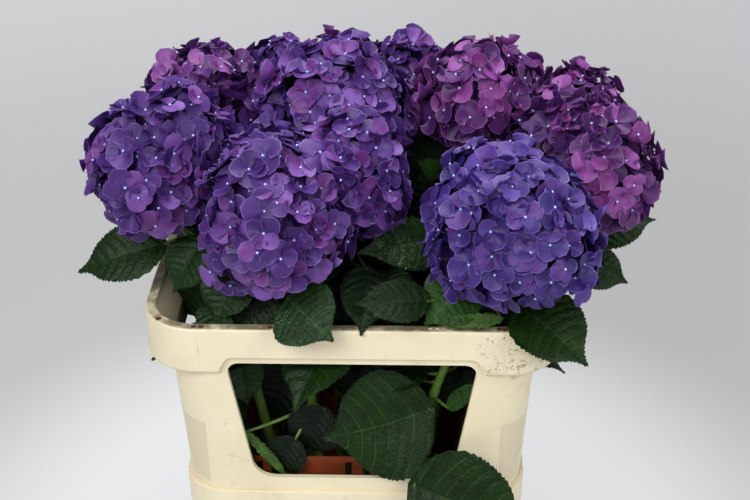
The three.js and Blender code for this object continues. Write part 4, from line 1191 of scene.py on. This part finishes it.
def make_blooms():
    """Florets, buds, pedicels and dark hearts, balls of painted shade, of all blooms, each kind apart."""
    random = np.random.default_rng(FLORET_SEED)
    petals = {family: [] for family in PETALS}
    bud_points, *bud_faces = ball(1, BUD_RADIUS)
    core_points, *core_faces = ball(3, 1)
    buds, pedicels, cores = [], [], []
    for stem in stems:
        hub = stem.neck + stem.axis * stem.radius * 0.4
        florets = []
        for centre, normal, length, cup, layer in bloom_places(stem, random):
            # sunken florets and those of the lobes take the deep tone, a painted shade
            tone = DEEP_SHADE_FINISH if layer else int(random.choice(4, p=TONE_SHARES))
            sepal = PLAIN_SEPAL if layer else FINE_SEPAL
            sepals = floret(centre, normal, length, cup, sepal, random, tone)
            whole = np.concatenate([points for points, _, _ in sepals])
            shift = kept_inside(whole)[0] - whole[0]
            florets += [(points + shift, faces, finishes) for points, faces, finishes in sepals]
            buds.append((bud_points + centre + normal * BUD_LIFT + shift, *bud_faces))
            bend = (hub + centre) / 2 - normal * 0.15 * stem.radius
            pedicels.append([(bezier((hub, bend, centre), share), PEDICEL_RADIUS)
                             for share in (0.1, 0.55, 1.0)])
        petals[stem.family].append((stem.number, florets))
        ripple = 1 + 0.05 * np.sin(core_points @ (9.0, 5.0, 7.0)) * np.sin(core_points @ (-4.0, 8.0, 6.0))
        rough = core_points * ripple[:, None] * (stem.radius - HEART_DEPTH)
        cores.append((rough + stem.at, *core_faces))
    nodes = [f"bloom_{stem.number:02d}" for stem in stems]
    for family, blooms in petals.items():
        materials = petal_finishes(family)
        group, names, part = [], [], 1
        for number, florets in blooms:
            if group and sum(len(faces) for _, faces, _ in group + florets) > MOST_QUADS:
                joined(f"petals_{family}_{part}", group, materials, names)
                group, names, part = [], [], part + 1
            group += florets
            names.append(f"bloom_{number:02d}")
        joined(f"petals_{family}_{part}", group, materials, names)
    joined("buds", buds, [petal_finish("bud_pale", (196, 216, 250), (170, 196, 244), 0.4)], nodes)
    # the heart's colour is painted shade: the dark violet of a bloom's shaded inside
    heart = petal_finish("heart_painted_shade", (74, 36, 116), (54, 26, 94), 0.8)
    joined("bloom_hearts", cores, [heart], nodes)
    stalk = petal_finish("pedicel", (84, 66, 110), (70, 84, 66), 0.6)
    tubes("pedicels", pedicels, 4, [stalk], nodes)


# ---------- floor, light and camera ----------

CAMERA_AT = (0.0555, -1.2518, 1.0668)
LENS = 67.2
PITCH, YAW, ROLL = 28.6, -1.69, -0.33    # degrees: down, to the left and clockwise

# The floor gives off most of its tone itself, so that it stays pale under the soft light; that glow is
# painted light, bright near the tub, dimmer in the middle distance and paler far back, with painted shade
# towards the right.
FLOOR_NEAR, FLOOR_MIDDLE = (0.69, 0.70, 0.715, 1), (0.40, 0.40, 0.405, 1)
FLOOR_FAR, FLOOR_BODY = (0.54, 0.545, 0.56, 1), (0.13, 0.13, 0.13, 1)

# Soft boxes in metres and watts: place, the point that it looks at, size and power.
LIGHTS = {
    "key": ((-0.9, -1.7, 2.0), (0, 0, 0.4), (1.6, 1.2), 43),
    "fill": ((1.5, -1.3, 1.3), (0, 0, 0.35), (1.4, 1.4), 18),
    "top": ((0.1, 0.5, 2.4), (0, 0.1, 0.3), (1.6, 1.4), 45),
}
WORLD_TINT, WORLD_LIGHT = (0.95, 0.97, 1, 1), 0.22


def make_floor():
    """A pale floor that runs far back, glowing with painted light and shade."""
    form = bmesh.new()
    bmesh.ops.create_grid(form, x_segments=1, y_segments=1, size=4)
    floor = as_object(form)
    floor.name = "floor"
    make = Finish("floor_pale", 0.9, 0)
    away = make.vector("LENGTH", make.vector("MULTIPLY", make.position, (1, 1, 0))[0])["Value"]
    # painted light: the glow fades from near the tub to the middle distance and brightens far back
    near = make.mix(make.past(away, 460, 160), FLOOR_NEAR, FLOOR_MIDDLE)
    far = make.mix(make.past(away, 1550, 650), near, FLOOR_FAR)
    # painted shade: the glow darkens towards the right
    shade_to_right = make.past(make.add("SeparateXYZ", {0: make.position})["X"], 50, 550)
    painted_floor_light = make.mix(make.times(shade_to_right, 0.13), far, (0, 0, 0))
    for label, value in (("Emission Color", painted_floor_light), ("Emission Strength", 1), ("Base Color", FLOOR_BODY)):
        make.put(make.shader[label], value)
    floor.data.materials.append(make.material)


def soft_light(name, place, aim, size, power):
    """A soft box that looks at a point."""
    lamp = bpy.data.lights.new(name, "AREA")
    lamp.shape = "RECTANGLE"
    lamp.size, lamp.size_y = size
    lamp.energy = power
    box = placed(name, lamp)
    box.location = place
    box.rotation_euler = (Vector(aim) - Vector(place)).to_track_quat("-Z", "Y").to_euler()


def make_camera():
    pitch, yaw, roll = (math.radians(angle) for angle in (PITCH, YAW, ROLL))
    ahead = Vector((math.sin(yaw) * math.cos(pitch), math.cos(yaw) * math.cos(pitch), -math.sin(pitch)))
    level = Vector((math.cos(yaw), -math.sin(yaw), 0))
    upward = level.cross(ahead)
    right = level * math.cos(roll) + upward * math.sin(roll)
    top = upward * math.cos(roll) - level * math.sin(roll)
    data = bpy.data.cameras.new("camera")
    data.lens = LENS
    data.sensor_width = 36
    camera = placed("camera", data)
    turn = Matrix((right, top, -ahead)).transposed().to_4x4()
    camera.matrix_world = Matrix.Translation(CAMERA_AT) @ turn
    bpy.context.scene.camera = camera


def make_studio():
    make_floor()
    for name, values in LIGHTS.items():
        soft_light(name, *values)
    world = bpy.data.worlds.new("studio")
    world.use_nodes = True
    background = world.node_tree.nodes["Background"].inputs
    background["Color"].default_value = WORLD_TINT
    background["Strength"].default_value = WORLD_LIGHT
    bpy.context.scene.world = world
    bpy.context.scene.view_settings.view_transform = "Standard"


# ---------- assembly ----------

cream_outside = tub_finish("tub_cream", 0.0)
# The faces inside the tub take a copy of the cream with more grime: partly dirt, partly painted shade.
cream_inside_shaded = tub_finish("tub_cream_inside", 0.5)
make_collar([cream_outside, cream_inside_shaded])
make_bucket([cream_outside, cream_inside_shaded])
make_tray(tray_finish())

green = stem_finish("stem_green", (94, 124, 52), (68, 94, 40))
fresh_green = stem_finish("stem_fresh", (124, 160, 66), (98, 134, 52))
foliage_nodes = [f"foliage_{stem.number:02d}" for stem in stems]
stem_nodes = [f"stem_{stem.number:02d}" for stem in stems]
tubes("stems_lower", [bare_stem(stem) for stem in stems], 10, [green], stem_nodes)
older = [leafy_stem(stem) for stem in stems if stem.number not in FRESH_STEMS]
fresh = [leafy_stem(stem) for stem in stems if stem.number in FRESH_STEMS]
tubes("stems_upper", older, 10, [green], foliage_nodes)
fresh_nodes = [f"foliage_{number:02d}" for number in FRESH_STEMS]
tubes("stems_fresh", fresh, 10, [fresh_green], fresh_nodes)
make_foliage(green, foliage_nodes)
make_blooms()

make_camera()
make_studio()
